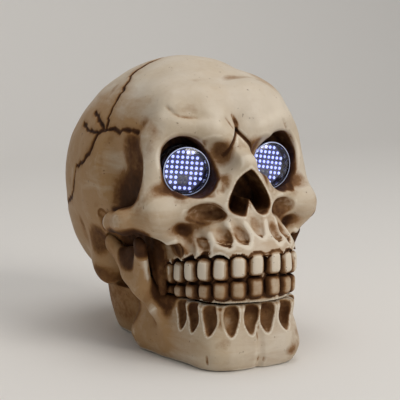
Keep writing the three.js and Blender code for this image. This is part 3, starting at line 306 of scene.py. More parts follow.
faceStrands = [  # points, radius at each, blend of each leg
    ([(0, -48.5, 134), (14, -49, 134), (27, -44.5, 132)], (8, 8, 8), (12, 12)),
    ([(7, -61, 117.5), (13, -59.5, 123.5), (29, -51.5, 126.5), (34.5, -48.5, 122.5), (38.5, -46, 117),
      (45.5, -51, 90)], (5, 5.6, 5.6, 5.2, 5.2, 6.6), (9, 11, 9, 8, 8)),
    ([(22, -66, 86), (44, -57, 80.6), (55, -43, 75.5), (55.5, -27, 73)], (6, 8.1, 6.8, 5.4), (7, 6, 4)),
    ([(46, -54, 75), (33, -62, 64)], (5, 4), (6,)),
    ([(0, -57, 114), (0, -73, 106.8)], (5.4, 5.2), (5,)),
    ([(3, -70, 103), (13, -69, 86)], (4.6, 5.6), (6,)),
]
cheekWall = ((34, -33, 52), (4.6, 12, 18))
cheekFolds = [  # top, foot, radius at each, blend
    ((39.5, -30, 67), (38, -35, 34), 3.2, 3.0, 3),
    ((38, -35.5, 66), (36.4, -41, 34), 3.0, 2.8, 2),
    ((36.5, -40.5, 65), (34.8, -46.5, 35), 2.8, 2.4, 2),
]
furrow = {  # frown line, seen from the front
    "line": [(0, 0, 123), (2.6, 0, 119.6), (5.6, 0, 115.8), (8.2, 0, 110.2)],
    "depth": 1.3, "spread": 1.2, "fade": (-40, -52),
}
browGroove = {
    "line": [(36, -54.5, 133.5), (27, -60.4, 132), (18, -63, 130), (8, -64.5, 127.5)],
    "depth": 0.8, "width": 3.4,
}
rootPits = [  # top, bottom, radius of the leaf-shaped hollows over the upper teeth
    ((0, -78.5, 87), (0, -87.8, 70), 3.3),
    ((12.8, -80.2, 80), (9.2, -88.9, 66.8), 3.2),
    ((20.6, -73.4, 78.8), (17.6, -85.6, 66.4), 3.4),
    ((28.4, -65.6, 73), (26.2, -78.2, 62.4), 3.2),
    ((33.6, -63.6, 71), (31.4, -70.4, 58.6), 2.7),
    ((36, -58, 67), (35, -62.5, 57.5), 2.6),
]
hollows = {
    "temple": ((58.5, -42, 102), (13, 13, 20)),
    "temporal": ((58, -28, 103), (11, 15, 22)),
    "innerCorner": ((17, -73, 109.5), (11.5, 14, 11)),
    "cheek": ((24.2, -72.5, 79.6), (11, 7.8, 7.2)), "cheekSill": 79.6,
    "underCheek": ((48, -44, 62.2), (12, 21, 7)),
    "ear": ((55, -10, 72.5), (4, 5, 4.5)),
    "lacrimal": ((10.5, -73.5, 106), (15.5, -75, 94), 1.8, 2.4),
}


def leaf(x, y, z, a, b, radius):  # pointed at both ends, a little fuller towards b
    t, gap = alongLine(x, y, z, a, b)
    return gap - radius * np.maximum(t * (1 - t) * 4, 1e-6) ** 0.75 * (0.95 + 0.2 * t)


def faceHollows(s, y, z):  # field, blend, lip, darkness of the painted shade and wash in it
    ox, oz, ow, oh, depth = skull["orbit"]
    orbit = oval(s - ox + (y - skull["eyeY"]) * 0.15, z - oz - skull["orbitTilt"] * (s - ox), ow, oh)
    yield np.maximum(orbit, y - skull["eyeY"] - depth), 3, 0, 0.95
    (topW, topZ), (baseW, baseZ) = skull["noseTop"], skull["noseBase"]
    side = ((s - topW) * (topZ - baseZ) + (z - topZ) * (baseW - topW)) / math.hypot(topZ - baseZ, baseW - topW)
    hole = common(side, np.maximum(skull["noseFloor"] - z, z - topZ), 12)
    spine = s * 0.9 + (z - skull["spineZ"]) * 0.44
    yield common(np.maximum(hole, y - skull["noseRear"]), -spine, 2), 0.8, skull["noseLip"], 0.8
    yield egg(s, y, z, *hollows["innerCorner"]), 2.4, 0, 0
    yield egg(s, y, z, *hollows["temple"]), 1.6, 0, 0.6
    yield rod(s, y, z, *hollows["lacrimal"]), 2, 0, 0.45
    cheek = common(egg(s, y, z, *hollows["cheek"]), hollows["cheekSill"] - z - 0.12 * s, 5)
    # darker towards the top: painted shade under the upper edge of the cheek hollow
    yield cheek, 2.6, 0, 0.3 + 0.25 * ramp(79, 86, z)
    yield egg(s, y, z, *hollows["underCheek"]), 1.4, 0, 0.55
    yield egg(s, y, z, *hollows["ear"]), 1.6, 0, 0.55
    for top, bottom, radius in rootPits:
        # darker towards the top of each pit: painted shade under its upper rim
        down = np.clip((top[2] - z) / (top[2] - bottom[2]), 0, 1)
        yield leaf(s, y + 1.1, z, top, bottom, radius), 3.4, 0, 0.52 - 0.26 * down


def craniumClay(x, y, z):
    s = np.abs(x)
    d = join(egg(x, y, z, *skull["frontal"]), egg(x, y, z, *skull["occiput"]), 26)
    d = join(d, egg(x, y, z, *skull["nuchal"]), 20)
    d = carve(d, egg(s, y, z, *hollows["temporal"]), 5)
    plan, gumZ = archPlan(s, y), toothRow["gum"][0]
    back = np.clip((y + 95) / 50, 0, 1) ** 1.6
    slope = 15 * ramp(gumZ - 3, 86, z)
    for centre, half, blend in faceEggs:
        d = join(d, egg(s, y, z, centre, half), blend)
    muzzle = common(plan + slope, np.maximum(z - 84, y - arch["rear"]), 8)
    d = join(d, np.maximum(muzzle, rowZ("gum", back) - z - 1 - 2.2 * gumScallop(s, y)), 7)
    for places, radii, blends in faceStrands:
        for i, blend in enumerate(blends):
            d = join(d, rod(s, y, z, places[i], places[i + 1], radii[i], radii[i + 1]), blend)
    frown = nearest(s, 0 * s, z, furrow["line"])
    d = d + furrow["depth"] * np.exp(-(frown**2) / furrow["spread"]) * ramp(*furrow["fade"], y)
    d = d + browGroove["depth"] * np.exp(-((nearest(s, y, z, browGroove["line"]) / browGroove["width"]) ** 2))
    for field, blend, lip, _ in faceHollows(s, y, z):
        d = carve(d - lip * np.exp(-((field / skull["lipWidth"]) ** 2)) if lip else d, field, blend)
    d = join(d, egg(s, y, z, *cheekWall), 3)
    for a, b, ra, rb, blend in cheekFolds:
        d = join(d, rod(s, y, z, a, b, ra, rb), blend)
    core = np.maximum(np.maximum(plan + toothRow["recess"], z - gumZ - 4), y - arch["rear"])
    d = join(d, np.maximum(core, rowZ("lowerGum", back) - 2.5 - z), 1)
    return join(d, teeth(s, y, z), 0.6)


# lower casting: jaw, rami and neck
jaw = {
    "frontY": -90.5, "frontHalf": 28, "rearY": -18, "rearHalf": 43.5, "rimZ": 34.5, "rise": 9, "pit": 4,
    "fork": (43, -27, 44), "condyle": (48, -9, 57), "coronoid": (48, -45, 63),
    "ridge": [(41, -35, 37), (38, -44, 27), (33, -50, 14)], "strut": 5.4, "taper": 0.75, "blade": 4.4,
    "web": ((44, -28, 48), (4.2, 13, 11)),
    "neckY": 14, "seamZ": 29, "neckTop": (36, 41), "neckFoot": (28, 34),
    "wall": 5.5, "floor": 6, "bore": (23, 29), "passage": 14,
    "profile": ((0, 3, 9, 16, 24, 31, 60), (4, 1.6, 0, 1, 3.4, 2.4, 0)), "soften": 2.2,
    "pitsAt": [  # x, y, turn, half width
        (4.9, -88, 0, 4.3), (15.6, -85, 23, 4), (23.6, -79, 56, 3.9), (27.8, -69.5, 76, 4), (30, -60.5, 78, 3.4),
    ],
    "pitZ": 28, "pitHalf": 9, "cleft": 1.5, "cleftWidth": 2.4,
}
heights = np.arange(-10, 70, 0.25)  # for the softened inset of the jaw's wall
softening = np.exp(-((np.arange(-6, 6.1, 0.25) / jaw["soften"]) ** 2))
insets = np.convolve(np.pad(np.interp(heights, *jaw["profile"]), 24, "edge"), softening / softening.sum(), "valid")


def insetAt(z):
    return np.interp(z, heights, insets)


def jawSides(s, y):
    dx, dy = jaw["rearHalf"] - jaw["frontHalf"], jaw["rearY"] - jaw["frontY"]
    side = ((s - jaw["frontHalf"]) * dy - (y - jaw["frontY"]) * dx) / math.hypot(dx, dy)
    return common(jaw["frontY"] - y, side, 14)


def jawPits(s, y, z):  # hollows between the roots of the lower teeth
    wall = common(jawSides(s, y), y - jaw["rearY"], 6) + insetAt(z)
    d = np.full_like(s, farOff)
    for tx, ty, turn, half in jaw["pitsAt"]:
        ux, uy = math.cos(math.radians(turn)), math.sin(math.radians(turn))
        u = (s - tx) * ux + (y - ty) * uy
        narrow = 1 - 0.22 * np.clip((jaw["pitZ"] + 3 - z) / 12, 0, 1)
        pit = egg(u / narrow, wall, z, (0, 0, jaw["pitZ"]), (half, jaw["pit"], jaw["pitHalf"]))
        d = np.where(np.abs(u) > 12, d, np.minimum(d, pit))
    return d


def jawClay(x, y, z):
    s = np.abs(x)
    sides = jawSides(s, y)
    plan = common(sides, y - jaw["rearY"], 6)
    inset = insetAt(z)
    rise = jaw["rise"] * ramp(-52, -28, y) * ramp(29, 35, s)
    rim = mix(jaw["rimZ"], jaw["seamZ"], ramp(-34, -26, y) * ramp(34, 28, s)) + rise
    d = common(plan + inset, z - rim, 3)
    d = d + jaw["cleft"] * np.exp(-((s / jaw["cleftWidth"]) ** 2)) * ramp(-70, -80, y) * ramp(27, 21, z)
    pits = jawPits(s, y, z)
    d = carve(d - 0.2 * np.exp(-((pits / 1.4) ** 2)), pits, 1.4)
    r = jaw["strut"]
    blade = np.abs(s - 41 - 0.3 * (z - 37)) - jaw["blade"]
    d = join(d, common(rod(s, y, z, jaw["fork"], jaw["condyle"], r, r * 1.05), blade, 5), 5)
    d = join(d, common(rod(s, y, z, jaw["ridge"][0], jaw["coronoid"], r, r * 0.85), blade, 5), 5)
    d = join(d, egg(s, y, z, *jaw["web"]), 4)
    last = jaw["fork"]
    for p in jaw["ridge"]:
        d = join(d, rod(s, y, z, last, p, r, r * jaw["taper"]), 6)
        last, r = p, r * jaw["taper"]
    t = np.clip(z / jaw["seamZ"], 0, 1) ** 0.6
    halfX, halfY = (mix(foot, top, t) for foot, top in zip(jaw["neckFoot"], jaw["neckTop"]))
    k0 = length(x / halfX, (y - jaw["neckY"]) / halfY)
    neck = np.maximum((k0 - 1) * halfX, z - jaw["seamZ"])
    d = common(join(d, neck, 2), -z, 1)
    bowl = common(sides + inset + jaw["wall"], y - jaw["rearY"] + jaw["wall"], 6)
    bore = oval(x, y - jaw["neckY"], *jaw["bore"])
    passage = np.maximum(np.maximum(s - jaw["passage"], y - jaw["neckY"]), jaw["rearY"] - 2 * jaw["wall"] - y)
    hollow = common(np.minimum(np.minimum(bowl, bore), passage), jaw["floor"] - z, 2)
    return np.maximum(d, -hollow)


def upperForm(x, y, z):
    d = craniumClay(x, y, z)
    near = (z < 76) & (d < 6)
    if near.any():
        room = jawClay(x[near], y[near], z[near]) - skull["jawRoom"]
        d[near] = np.maximum(d[near], -room)
    return d


def inTurns(form, points, size=60000):
    out = np.empty(len(points), np.float32)
    for i in range(0, len(points), size):
        p = points[i:i + size].astype(np.float32)
        out[i:i + size] = form(p[:, 0], p[:, 1], p[:, 2])
    return out


cube = np.array([(i, j, k) for i in (0, 1) for j in (0, 1) for k in (0, 1)])


def skinOf(form, low, high, step):  # surface nets on a band of bricks, then one pull onto the true surface
    brick = 6
    low = np.array(low, float)
    counts = np.ceil((np.array(high) - low) / step / brick).astype(int)
    bricks = np.stack(np.meshgrid(*[np.arange(c) for c in counts], indexing="ij"), -1).reshape(-1, 3)
    centre = inTurns(form, low + (bricks + 0.5) * brick * step)
    close = np.abs(centre) < brick * step * 1.25
    values = np.empty(counts * brick + 1, np.float32)
    values[:] = 9
    blocks = values[:-1, :-1, :-1].reshape(counts[0], brick, counts[1], brick, counts[2], brick)
    blocks[...] = centre.reshape(counts)[:, None, :, None, :, None]
    grid = np.arange(brick + 1)
    local = np.stack(np.meshgrid(grid, grid, grid, indexing="ij"), -1).reshape(-1, 3)
    places = (bricks[close][:, None, :] * brick + local[None]).reshape(-1, 3)
    flat = np.unique(np.ravel_multi_index(places.T, values.shape))
    places = np.stack(np.unravel_index(flat, values.shape), 1)
    values.reshape(-1)[flat] = inTurns(form, low + places * step)
    inside = values < 0
    shape = np.array(values.shape) - 1
    count = sum(inside[i:i + shape[0], j:j + shape[1], k:k + shape[2]].astype(np.uint8) for i, j, k in cube)
    cells = np.argwhere((count > 0) & (count < 8))
    index = np.full(shape, -1, np.int32)
    index[tuple(cells.T)] = np.arange(len(cells))
    corner = np.stack([values[tuple((cells + c).T)] for c in cube], 1)
    total, weight = np.zeros((len(cells), 3)), np.zeros(len(cells))
    for a in range(8):
        for b in range(a + 1, 8):
            if np.abs(cube[a] - cube[b]).sum() == 1:
                crosses = (corner[:, a] < 0) != (corner[:, b] < 0)
                t = np.where(crosses, corner[:, a] / np.where(crosses, corner[:, a] - corner[:, b], 1), 0)
                total += np.where(crosses[:, None], cube[a] + t[:, None] * (cube[b] - cube[a]), 0)
                weight += crosses
    points = low + (cells + total / weight[:, None]) * step
    quads, unit = [], np.eye(3, dtype=int)
    for axis in range(3):
        one, u, v = (unit[(axis + k) % 3] for k in range(3))
        first = inside[tuple(slice(0, n + 1 - o) for n, o in zip(shape, one))]
        second = inside[tuple(slice(o, None) for o in one)]
        edges = np.argwhere(first != second)
        edges = edges[(edges[:, (axis + 1) % 3] > 0) & (edges[:, (axis + 2) % 3] > 0)]
        edges = edges[(edges < shape).all(1)]
        ring = np.stack([index[tuple((edges - e).T)] for e in (u + v, v, 0 * u, u)], 1)
        turn = first[tuple(edges.T)]
        quads.append(np.where(turn[:, None], ring, ring[:, ::-1]))
    quads = np.concatenate(quads)
    gradient = slopeOf(form, points)
    move = inTurns(form, points)[:, None] * gradient / np.maximum((gradient**2).sum(1), 0.2)[:, None]
    reach = np.linalg.norm(move, axis=1, keepdims=True)
    points = points - move * np.minimum(1, 0.45 * step / np.maximum(reach, 1e-6))
    return points, quads


def slopeOf(form, points, e=0.25):
    out = np.empty_like(points)
    for k in range(3):
        o = np.zeros(3)
        o[k] = e
        out[:, k] = (inTurns(form, points + o) - inTurns(form, points - o)) / (2 * e)
    return out


def meshOf(name, points, faces):
    mesh = bpy.data.meshes.new(name)
    mesh.vertices.add(len(points))
    mesh.vertices.foreach_set("co", np.ascontiguousarray(points, np.float32).ravel())
    mesh.loops.add(faces.size)
    mesh.loops.foreach_set("vertex_index", faces.astype(np.int32).ravel())
    mesh.polygons.add(len(faces))
    mesh.polygons.foreach_set("loop_start", np.arange(0, faces.size, faces.shape[1], dtype=np.int32))
    mesh.polygons.foreach_set("use_smooth", np.ones(len(faces), bool))
    mesh.update(calc_edges=True)
    mesh.validate()
    return mesh


def addPiece(name, mesh, materials, node):
    for material in materials:
        mesh.materials.append(material)
    piece = bpy.data.objects.new(name, mesh)
    scene.collection.objects.link(piece)
    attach(piece, "skull")
    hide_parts(node)


def turnedMesh(name, profile, sides):  # closed profile of radius and height, turned about local Y
    bm = bmesh.new()
    rings = []
    for r, h in profile:
        if r < 1e-6:
            rings.append([bm.verts.new((0, h, 0))])
        else:
            turns = [2 * math.pi * i / sides for i in range(sides)]
            rings.append([bm.verts.new((r * math.cos(t), h, r * math.sin(t))) for t in turns])
    for a, b in zip(rings, rings[1:] + rings[:1]):
        for i in range(sides):
            ring = [a[i % len(a)], a[(i + 1) % len(a)], b[(i + 1) % len(b)], b[i % len(b)]]
            corners = list(dict.fromkeys(ring))
            if len(corners) > 2:
                bm.faces.new(corners)
    bmesh.ops.recalc_face_normals(bm, faces=bm.faces)
    return emptied(bm, name)


def emptied(bm, name="cutter"):
    mesh = bpy.data.meshes.new(name)
    bm.to_mesh(mesh)
    bm.free()
    return mesh


def cutterOf(mesh, matrix):
    cutter = bpy.data.objects.new("cutter", mesh)
    scene.collection.objects.link(cutter)
    mesh.transform(matrix)
    return cutter


def boxCutter(x, y, z, sizeX, sizeY, height):
    bm = bmesh.new()
    bmesh.ops.create_cube(bm, size=1)
    place = Matrix.Translation((x, y, z + height / 2)) @ Matrix.Diagonal((sizeX, sizeY, height, 1))
    return cutterOf(emptied(bm), place)


def eggCutter(centre, half, around, along):
    bm = bmesh.new()
    bmesh.ops.create_uvsphere(bm, u_segments=around, v_segments=along, radius=1)
    return cutterOf(emptied(bm), Matrix.Translation(centre) @ Matrix.Diagonal((*half, 1)))


def cutAway(mesh, cutters, keep):  # millimetre mesh thinned to a share of its faces, with the cutters taken off
    work = bpy.data.objects.new("work", mesh)
    scene.collection.objects.link(work)
    work.modifiers.new("thin", "DECIMATE").ratio = keep
    for cutter in cutters:
        cut = work.modifiers.new("cut", "BOOLEAN")
        cut.object, cut.operation, cut.solver = cutter, "DIFFERENCE", "MANIFOLD"
    bpy.context.view_layer.update()
    done = bpy.data.meshes.new_from_object(work.evaluated_get(bpy.context.evaluated_depsgraph_get()))
    for o in [work, *cutters]:
        bpy.data.objects.remove(o)
    return done


def pointsOf(mesh):
    co = np.empty(len(mesh.vertices) * 3, np.float32)
    mesh.vertices.foreach_get("co", co)
    return co.reshape(-1, 3).astype(float)


# painted shade: darker where the form closes in, as occlusion, and in grooves, together with the antique wash that
# pools there; sharp ridges paler
shadeAndWashWork = {
    "reach": ((0.8, 0.32), (2.0, 0.38), (4.5, 0.38), (9.0, 0.14)),  # look-out distance, share
    "ridge": (0.10, 0.6), "ridgePale": 0.42, "groove": (-0.3, -0.9), "grooveDark": 0.35, "clear": 0.12,
}


def shadeAndWashOf(form, points, normals):  # painted shade and wash where the form closes in, below zero on sharp ridges
    dark = np.zeros(len(points))
    for h, share in shadeAndWashWork["reach"]:
        dark += share * np.clip(1 - inTurns(form, points + normals * h) / h, 0, 1.2)
    dark = np.maximum(dark - shadeAndWashWork["clear"], 0) * 1.2
    bend = -6 * inTurns(form, points)
    for axis in np.eye(3):
        bend += inTurns(form, points + axis) + inTurns(form, points - axis)
    dark += shadeAndWashWork["grooveDark"] * ramp(*shadeAndWashWork["groove"], bend)
    return dark - shadeAndWashWork["ridgePale"] * ramp(*shadeAndWashWork["ridge"], bend)


def unevenness(points, seed, short, long, waves=14):
    rng = np.random.default_rng(seed)
    total = np.zeros(len(points))
    for _ in range(waves):
        way = rng.normal(size=3)
        way *= 2 * math.pi / rng.uniform(short, long) / np.linalg.norm(way)
        total += np.sin(points @ way + rng.uniform(0, 6.28))
    return total / math.sqrt(waves)


def pushed(form, points, depth):  # points moved in along the normal
    slopes = slopeOf(form, points)
    return points - depth[:, None] * slopes / np.maximum(np.linalg.norm(slopes, axis=1, keepdims=True), 0.1)


def settle(mesh):  # millimetres to the model's metres, kept inside the solid's box
    co = (pointsOf(mesh) + shift) * mm
    low, high = np.array(cadBox[0]), np.array(cadBox[1])
    mesh.vertices.foreach_set("co", np.clip(co, low, high).astype(np.float32).ravel())
    mesh.update()


def addLayer(mesh, name, values):
    layer = mesh.attributes.new(name, "FLOAT", "POINT")
    layer.data.foreach_set("value", values.astype(np.float32))


# writes the layer of painted shade with wash and stains, and the layer of ochre that stands in for shade and warm
# bounce light
def addShadeAndWash(mesh, form, shadeAndStains, shadeOchres, lift=None):
    points = pointsOf(mesh)
    normals = np.empty(len(points) * 3, np.float32)
    mesh.vertex_normals.foreach_get("vector", normals)
    normals = normals.reshape(-1, 3).astype(float)
    x, y, z = points.T
    dark, shadeAndStain = shadeAndWashOf(form, points, normals), shadeAndStains(np.abs(x), y, z, x)
    if lift:
        dark -= lift(np.abs(x), y, z)
    addLayer(mesh, "shadeAndWash", np.where(shadeAndStain > 0.05, np.maximum(dark, shadeAndStain), dark))
    addLayer(mesh, "shadeOchre", shadeOchres(np.abs(x), y, z, x))


def eyeFrame(x, yaw):
    a = math.radians(yaw)
    right, out = Vector((math.cos(a), math.sin(a), 0)), Vector((math.sin(a), -math.cos(a), 0))
    m = Matrix.Identity(4)
    place = (x, skull["eyeY"], skull["eyeZ"])
    for i, values in enumerate((right, out, (0, 0, -1), place)):
        m.col[i][:3] = values
    return m


eyes = {"right": eyeFrame(-26, -11), "left": eyeFrame(26, 3)}
eye = {
    "lensR": 12.8, "wall": 1.2, "bulge": 2.2, "skirt": 11.2, "sides": 64,
    "dome": (0, 0.25, 0.5, 0.7, 0.85, 0.95, 1),  # shares of the cap's radius
    "matrixR": 11.3, "matrixSet": 5.5, "matrixDepth": 3, "pitch": 2.72, "rows": (4, 6, 8, 8, 8, 8, 6, 4),
    "dotR": 0.95, "dotSides": 12, "dotRings": ((1, -0.05), (1, 0.12), (0.86, 0.3), (0.55, 0.4)),  # share, height
    "pupilRows": (5, 6), "pupilColumns": (3, 4), "roll": {"right": 6, "left": 9},
    "seatAt": 14.8, "seatRoom": 0.8, "boreRoom": 0.3, "boreDepth": 26,
}


def noiseOf(tree, where, scale, detail=3, rough=0.55, distortion=0):
    node = tree.nodes.new("ShaderNodeTexNoise")
    feed(tree, node, {
        "Vector": where, "Scale": scale, "Detail": detail, "Roughness": rough, "Distortion": distortion,
    })
    return node.outputs["Fac"]


def mathOf(tree, kind, *values):
    node = tree.nodes.new("ShaderNodeMath")
    node.operation = kind
    feed(tree, node, dict(enumerate(values)))
    return node.outputs[0]


def linear(tree, a, factor, plus):
    return mathOf(tree, "MULTIPLY_ADD", a, factor, plus)


def fadeOf(tree, fac, low, high, top=1.0):  # 0 at low, top at high
    node = tree.nodes.new("ShaderNodeValToRGB")
    for end, at, value in zip(node.color_ramp.elements, (low, high), (0, top)):
        end.position, end.color = at, (value, value, value, 1)
    feed(tree, node, {"Fac": fac})
    return node.outputs["Color"]


def mixOf(tree, fac, a, b):
    node = tree.nodes.new("ShaderNodeMix")
    node.data_type = "RGBA"
    feed(tree, node, {0: fac, 6: a, 7: b})  # factor and the two colours
    return node.outputs[2]


def bumpOf(tree, height, strength, distance):
    node = tree.nodes.new("ShaderNodeBump")
    feed(tree, node, {"Height": height, "Strength": strength, "Distance": distance})
    return node.outputs["Normal"]


resinLook = {
    "cream": (0.535, 0.435, 0.31), "pale": (0.625, 0.55, 0.45), "bone": (0.72, 0.645, 0.53),
    # stain, wash and deep browns: painted shade in hollows and creases, with the real wash and stains
    "ochre": (0.35, 0.19, 0.064), "shadeAndStain": (0.25, 0.12, 0.04),
    "shadeAndWash": (0.09, 0.036, 0.012), "deep": (0.028, 0.011, 0.005),
    "cloud": (24, 4, 0.6), "patch": (95, 5, 0.6, 0.4), "grain": (330, 4, 0.65),  # noise settings
    "brushed": (60, 5, 0.62, 0.5), "stroke": (0.7, 0.7, 2.6), "specks": (430, 2, 0.5),
    "cloudFade": (0.36, 0.62), "ochreFade": (0.0, 0.7, 0.9), "wornAndHighlightFade": (0.0, 0.3, 0.9),
    "shadeAndStainFade": (0.10, 0.34, 0.92), "shadeAndWashFade": (0.26, 0.56), "deepFade": (0.56, 1.0),
    "speckFade": (0.70, 0.75, 0.6), "bump": (0.5, 0.0004),
}


def layerOf(tree, name):
    layer = tree.nodes.new("ShaderNodeAttribute")
    layer.attribute_name = name
    return layer.outputs["Fac"]


def resinMaterial():
    look = resinLook
    material, tree, shader, where = newMaterial("antiquedResin")
    # one layer of painted shade with the wash and stains, one of ochre that stands in for shade and warm bounce
    # light
    shadeAndWash, shadeOchre = layerOf(tree, "shadeAndWash"), layerOf(tree, "shadeOchre")
    cloud = noiseOf(tree, where, *look["cloud"])
    stroke = tree.nodes.new("ShaderNodeMapping")  # draws the noise out along the strokes of the rubbing
    stroke.inputs["Scale"].default_value = look["stroke"]
    tree.links.new(where, stroke.inputs["Vector"])
    brushed = noiseOf(tree, stroke.outputs["Vector"], *look["brushed"])
    grain = noiseOf(tree, where, *look["grain"])
    patch = noiseOf(tree, where, *look["patch"])
    body = mixOf(tree, fadeOf(tree, cloud, *look["cloudFade"]), look["cream"], look["pale"])
    # ochre from the brushed rubbing, raised where the ochre layer paints shade and warm bounce light
    ochre = linear(tree, brushed, 1.0, linear(tree, shadeOchre, 1.0, -0.6))
    body = mixOf(tree, fadeOf(tree, ochre, *look["ochreFade"]), body, look["ochre"])
    uneven = linear(tree, patch, 0.9, linear(tree, grain, 0.5, -0.7))
    share = linear(tree, mathOf(tree, "MAXIMUM", shadeAndWash, 0.0), 1.0, 0.22)
    amount = linear(tree, uneven, share, shadeAndWash)
    # bone colour where the amount falls below zero: dry-brushed ridges, and a painted highlight on the tooth faces
    worn = fadeOf(tree, mathOf(tree, "MULTIPLY", amount, -1.0), *look["wornAndHighlightFade"])
    colour = mixOf(tree, worn, body, look["bone"])
    first = fadeOf(tree, amount, *look["shadeAndStainFade"])
    colour = mixOf(tree, first, colour, look["shadeAndStain"])
    for fade, layer in (("shadeAndWashFade", "shadeAndWash"), ("deepFade", "deep")):
        colour = mixOf(tree, fadeOf(tree, amount, *look[fade]), colour, look[layer])
    specks = fadeOf(tree, noiseOf(tree, where, *look["specks"]), *look["speckFade"])
    colour = mixOf(tree, specks, colour, look["shadeAndWash"])
    height = mathOf(tree, "ADD", grain, mathOf(tree, "MULTIPLY", patch, 1.5))
    feed(tree, shader, {
        "Base Color": colour, "Normal": bumpOf(tree, height, *look["bump"]),
        "Roughness": linear(tree, patch, 0.22, linear(tree, first, 0.15, 0.36)),
        "Specular IOR Level": linear(tree, first, -0.26, 0.34),
    })
    return material


def mouldedMaterial(name, colour, roughness, metallic=0.0):
    material, tree, shader, where = newMaterial(name)
    grain = noiseOf(tree, where, 700, 3)
    darker, paler = tuple(c * 0.75 for c in colour), tuple(min(1, c * 1.2) for c in colour)
    feed(tree, shader, {
        "Base Color": mixOf(tree, noiseOf(tree, where, 60, 4), darker, paler), "Metallic": metallic,
        "Roughness": linear(tree, grain, 0.2, roughness - 0.1),
        "Normal": bumpOf(tree, grain, 0.15, 0.0002),
    })
    return material


resin = resinMaterial()
nodeLooks = {  # colour, roughness, metal and nodes of the solids that show as they are
    "blackPlastic": ((0.02, 0.02, 0.022), 0.45, 0, [
        "eye_cup_right", "eye_cup_left", "battery_box", "battery_door",
        "controller_chip", "switch_body", "switch_knob",
    ]),
    "cellWrap": ((0.06, 0.16, 0.32), 0.32, 0, ["battery_1", "battery_2", "battery_3"]),
    "platedSteel": ((0.62, 0.63, 0.65), 0.32, 1, [
        "contact_positive", "contact_bridge_rear", "contact_bridge_front", "contact_negative",
        "box_screw_1", "box_screw_2", "board_screw_1", "board_screw_2",
    ]),
    "boardLacquer": ((0.03, 0.16, 0.07), 0.4, 0, ["controller_board"]),
    "redWire": ((0.45, 0.02, 0.02), 0.45, 0, ["power_lead_red", "switch_lead"]),
    "blackWire": ((0.02, 0.02, 0.02), 0.5, 0, ["harness_right", "harness_left", "power_lead_black"]),
}
for name, (colour, rough, metal, nodes) in nodeLooks.items():
    material = mouldedMaterial(name, colour, rough, metal)
    for node in nodes:
        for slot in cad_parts[node].material_slots:
            slot.material = material
print("looks: resin and the solids that stay")

craniumWork = {
    "low": (-68, -102, 24), "high": (68, 90, 166), "step": 0.65, "keep": 0.355,
    "brain": ((0, 14, 92), (46.5, 57, 59)), "palate": ((0, -52, 38), (20, 33, 19)),
    "neckBore": ((0, 14, 29), (23, 29)), "boreSpan": (-15, 35),
}


def seamedUpper(x, y, z):
    return np.maximum(upperForm(x, y, z), skull["seamZ"] - z)


# darker patches: painted shade under the cheekbone arch and in the inner eye corner, painted shade with brown
# stain in the temple hollow, brown stain by the ear and along the tear groove
shadeAndStainSpots = [  # centre, half sizes, strength, softness
    ((46, -36, 56), (14, 22, 14), 0.75, 3),
    ((48, -37, 106), (8, 11, 17), 0.5, 5),
    ((51, -36, 91), (9, 15, 15), 0.85, 7),
    ((53, -42, 69), (9, 18, 5), 0.85, 3),
    ((51, 3, 58), (7, 10, 9), 0.5, 4),
    ((52, -14, 67), (7, 9, 10), 0.55, 4),
    ((44, 4, 38), (12, 10, 7), 0.4, 4),
    ((12.5, -74, 103), (3, 6, 9), 0.4, 2.5),
    ((9, -62, 113), (6, 9, 8), 0.45, 4),
    ((30, -66, 88), (9, 6, 3), 0.2, 3),
]
crackLines = [  # points on the braincase, walked from end to end
    [(-18.7, 1.2, 156.4), (-31.5, -0.8, 149.6), (-35.8, -5.9, 146.2), (-42.1, -8.8, 139.4),
     (-46.9, -9.9, 132.6), (-52.3, -12.2, 121)],
    [(-51.5, 19, 122.7), (-54.2, 7.6, 119.3), (-54, -5.4, 118.9), (-52.3, -12.2, 121),
     (-50.3, -19.4, 122.1), (-47.1, -29, 121.8), (-45, -37, 121.2)],
    [(-54.2, -4.7, 118.3), (-56.5, -2.8, 111), (-58.3, 4.2, 103.2), (-58.6, 14.6, 99.2),
     (-58.7, 17.5, 90.3), (-57.1, 24.3, 80.7), (-50.4, 46.2, 71.3)],
    [(-49.4, 8.6, 129.1), (-52.1, -2, 125.9), (-52.3, -9, 121.5)],
    [(-18.7, 1.2, 156.4), (-6, 3, 158.5), (9, 1, 158.5), (20, 5, 156)],
]
crackWork = {
    "centre": (0, 8, 95), "radius": 58, "jitter": 0.9, "seed": 7, "part": 2.6, "widths": (0.6, 1.5),
    "depth": 1.1, "width": 0.8,
}


def jaggedCracks():
    rng = np.random.default_rng(crackWork["seed"])
    found = []
    for line in crackLines:
        for a, b in zip(line, line[1:]):
            a, b = np.array(a, float), np.array(b, float)
            parts = max(2, int(np.linalg.norm(b - a) / crackWork["part"]))
            steps = [a + (b - a) * i / parts for i in range(parts + 1)]
            steps[1:-1] = [q + rng.normal(0, crackWork["jitter"], 3) for q in steps[1:-1]]
            found += [(*pair, rng.uniform(*crackWork["widths"])) for pair in zip(steps, steps[1:])]
    return found


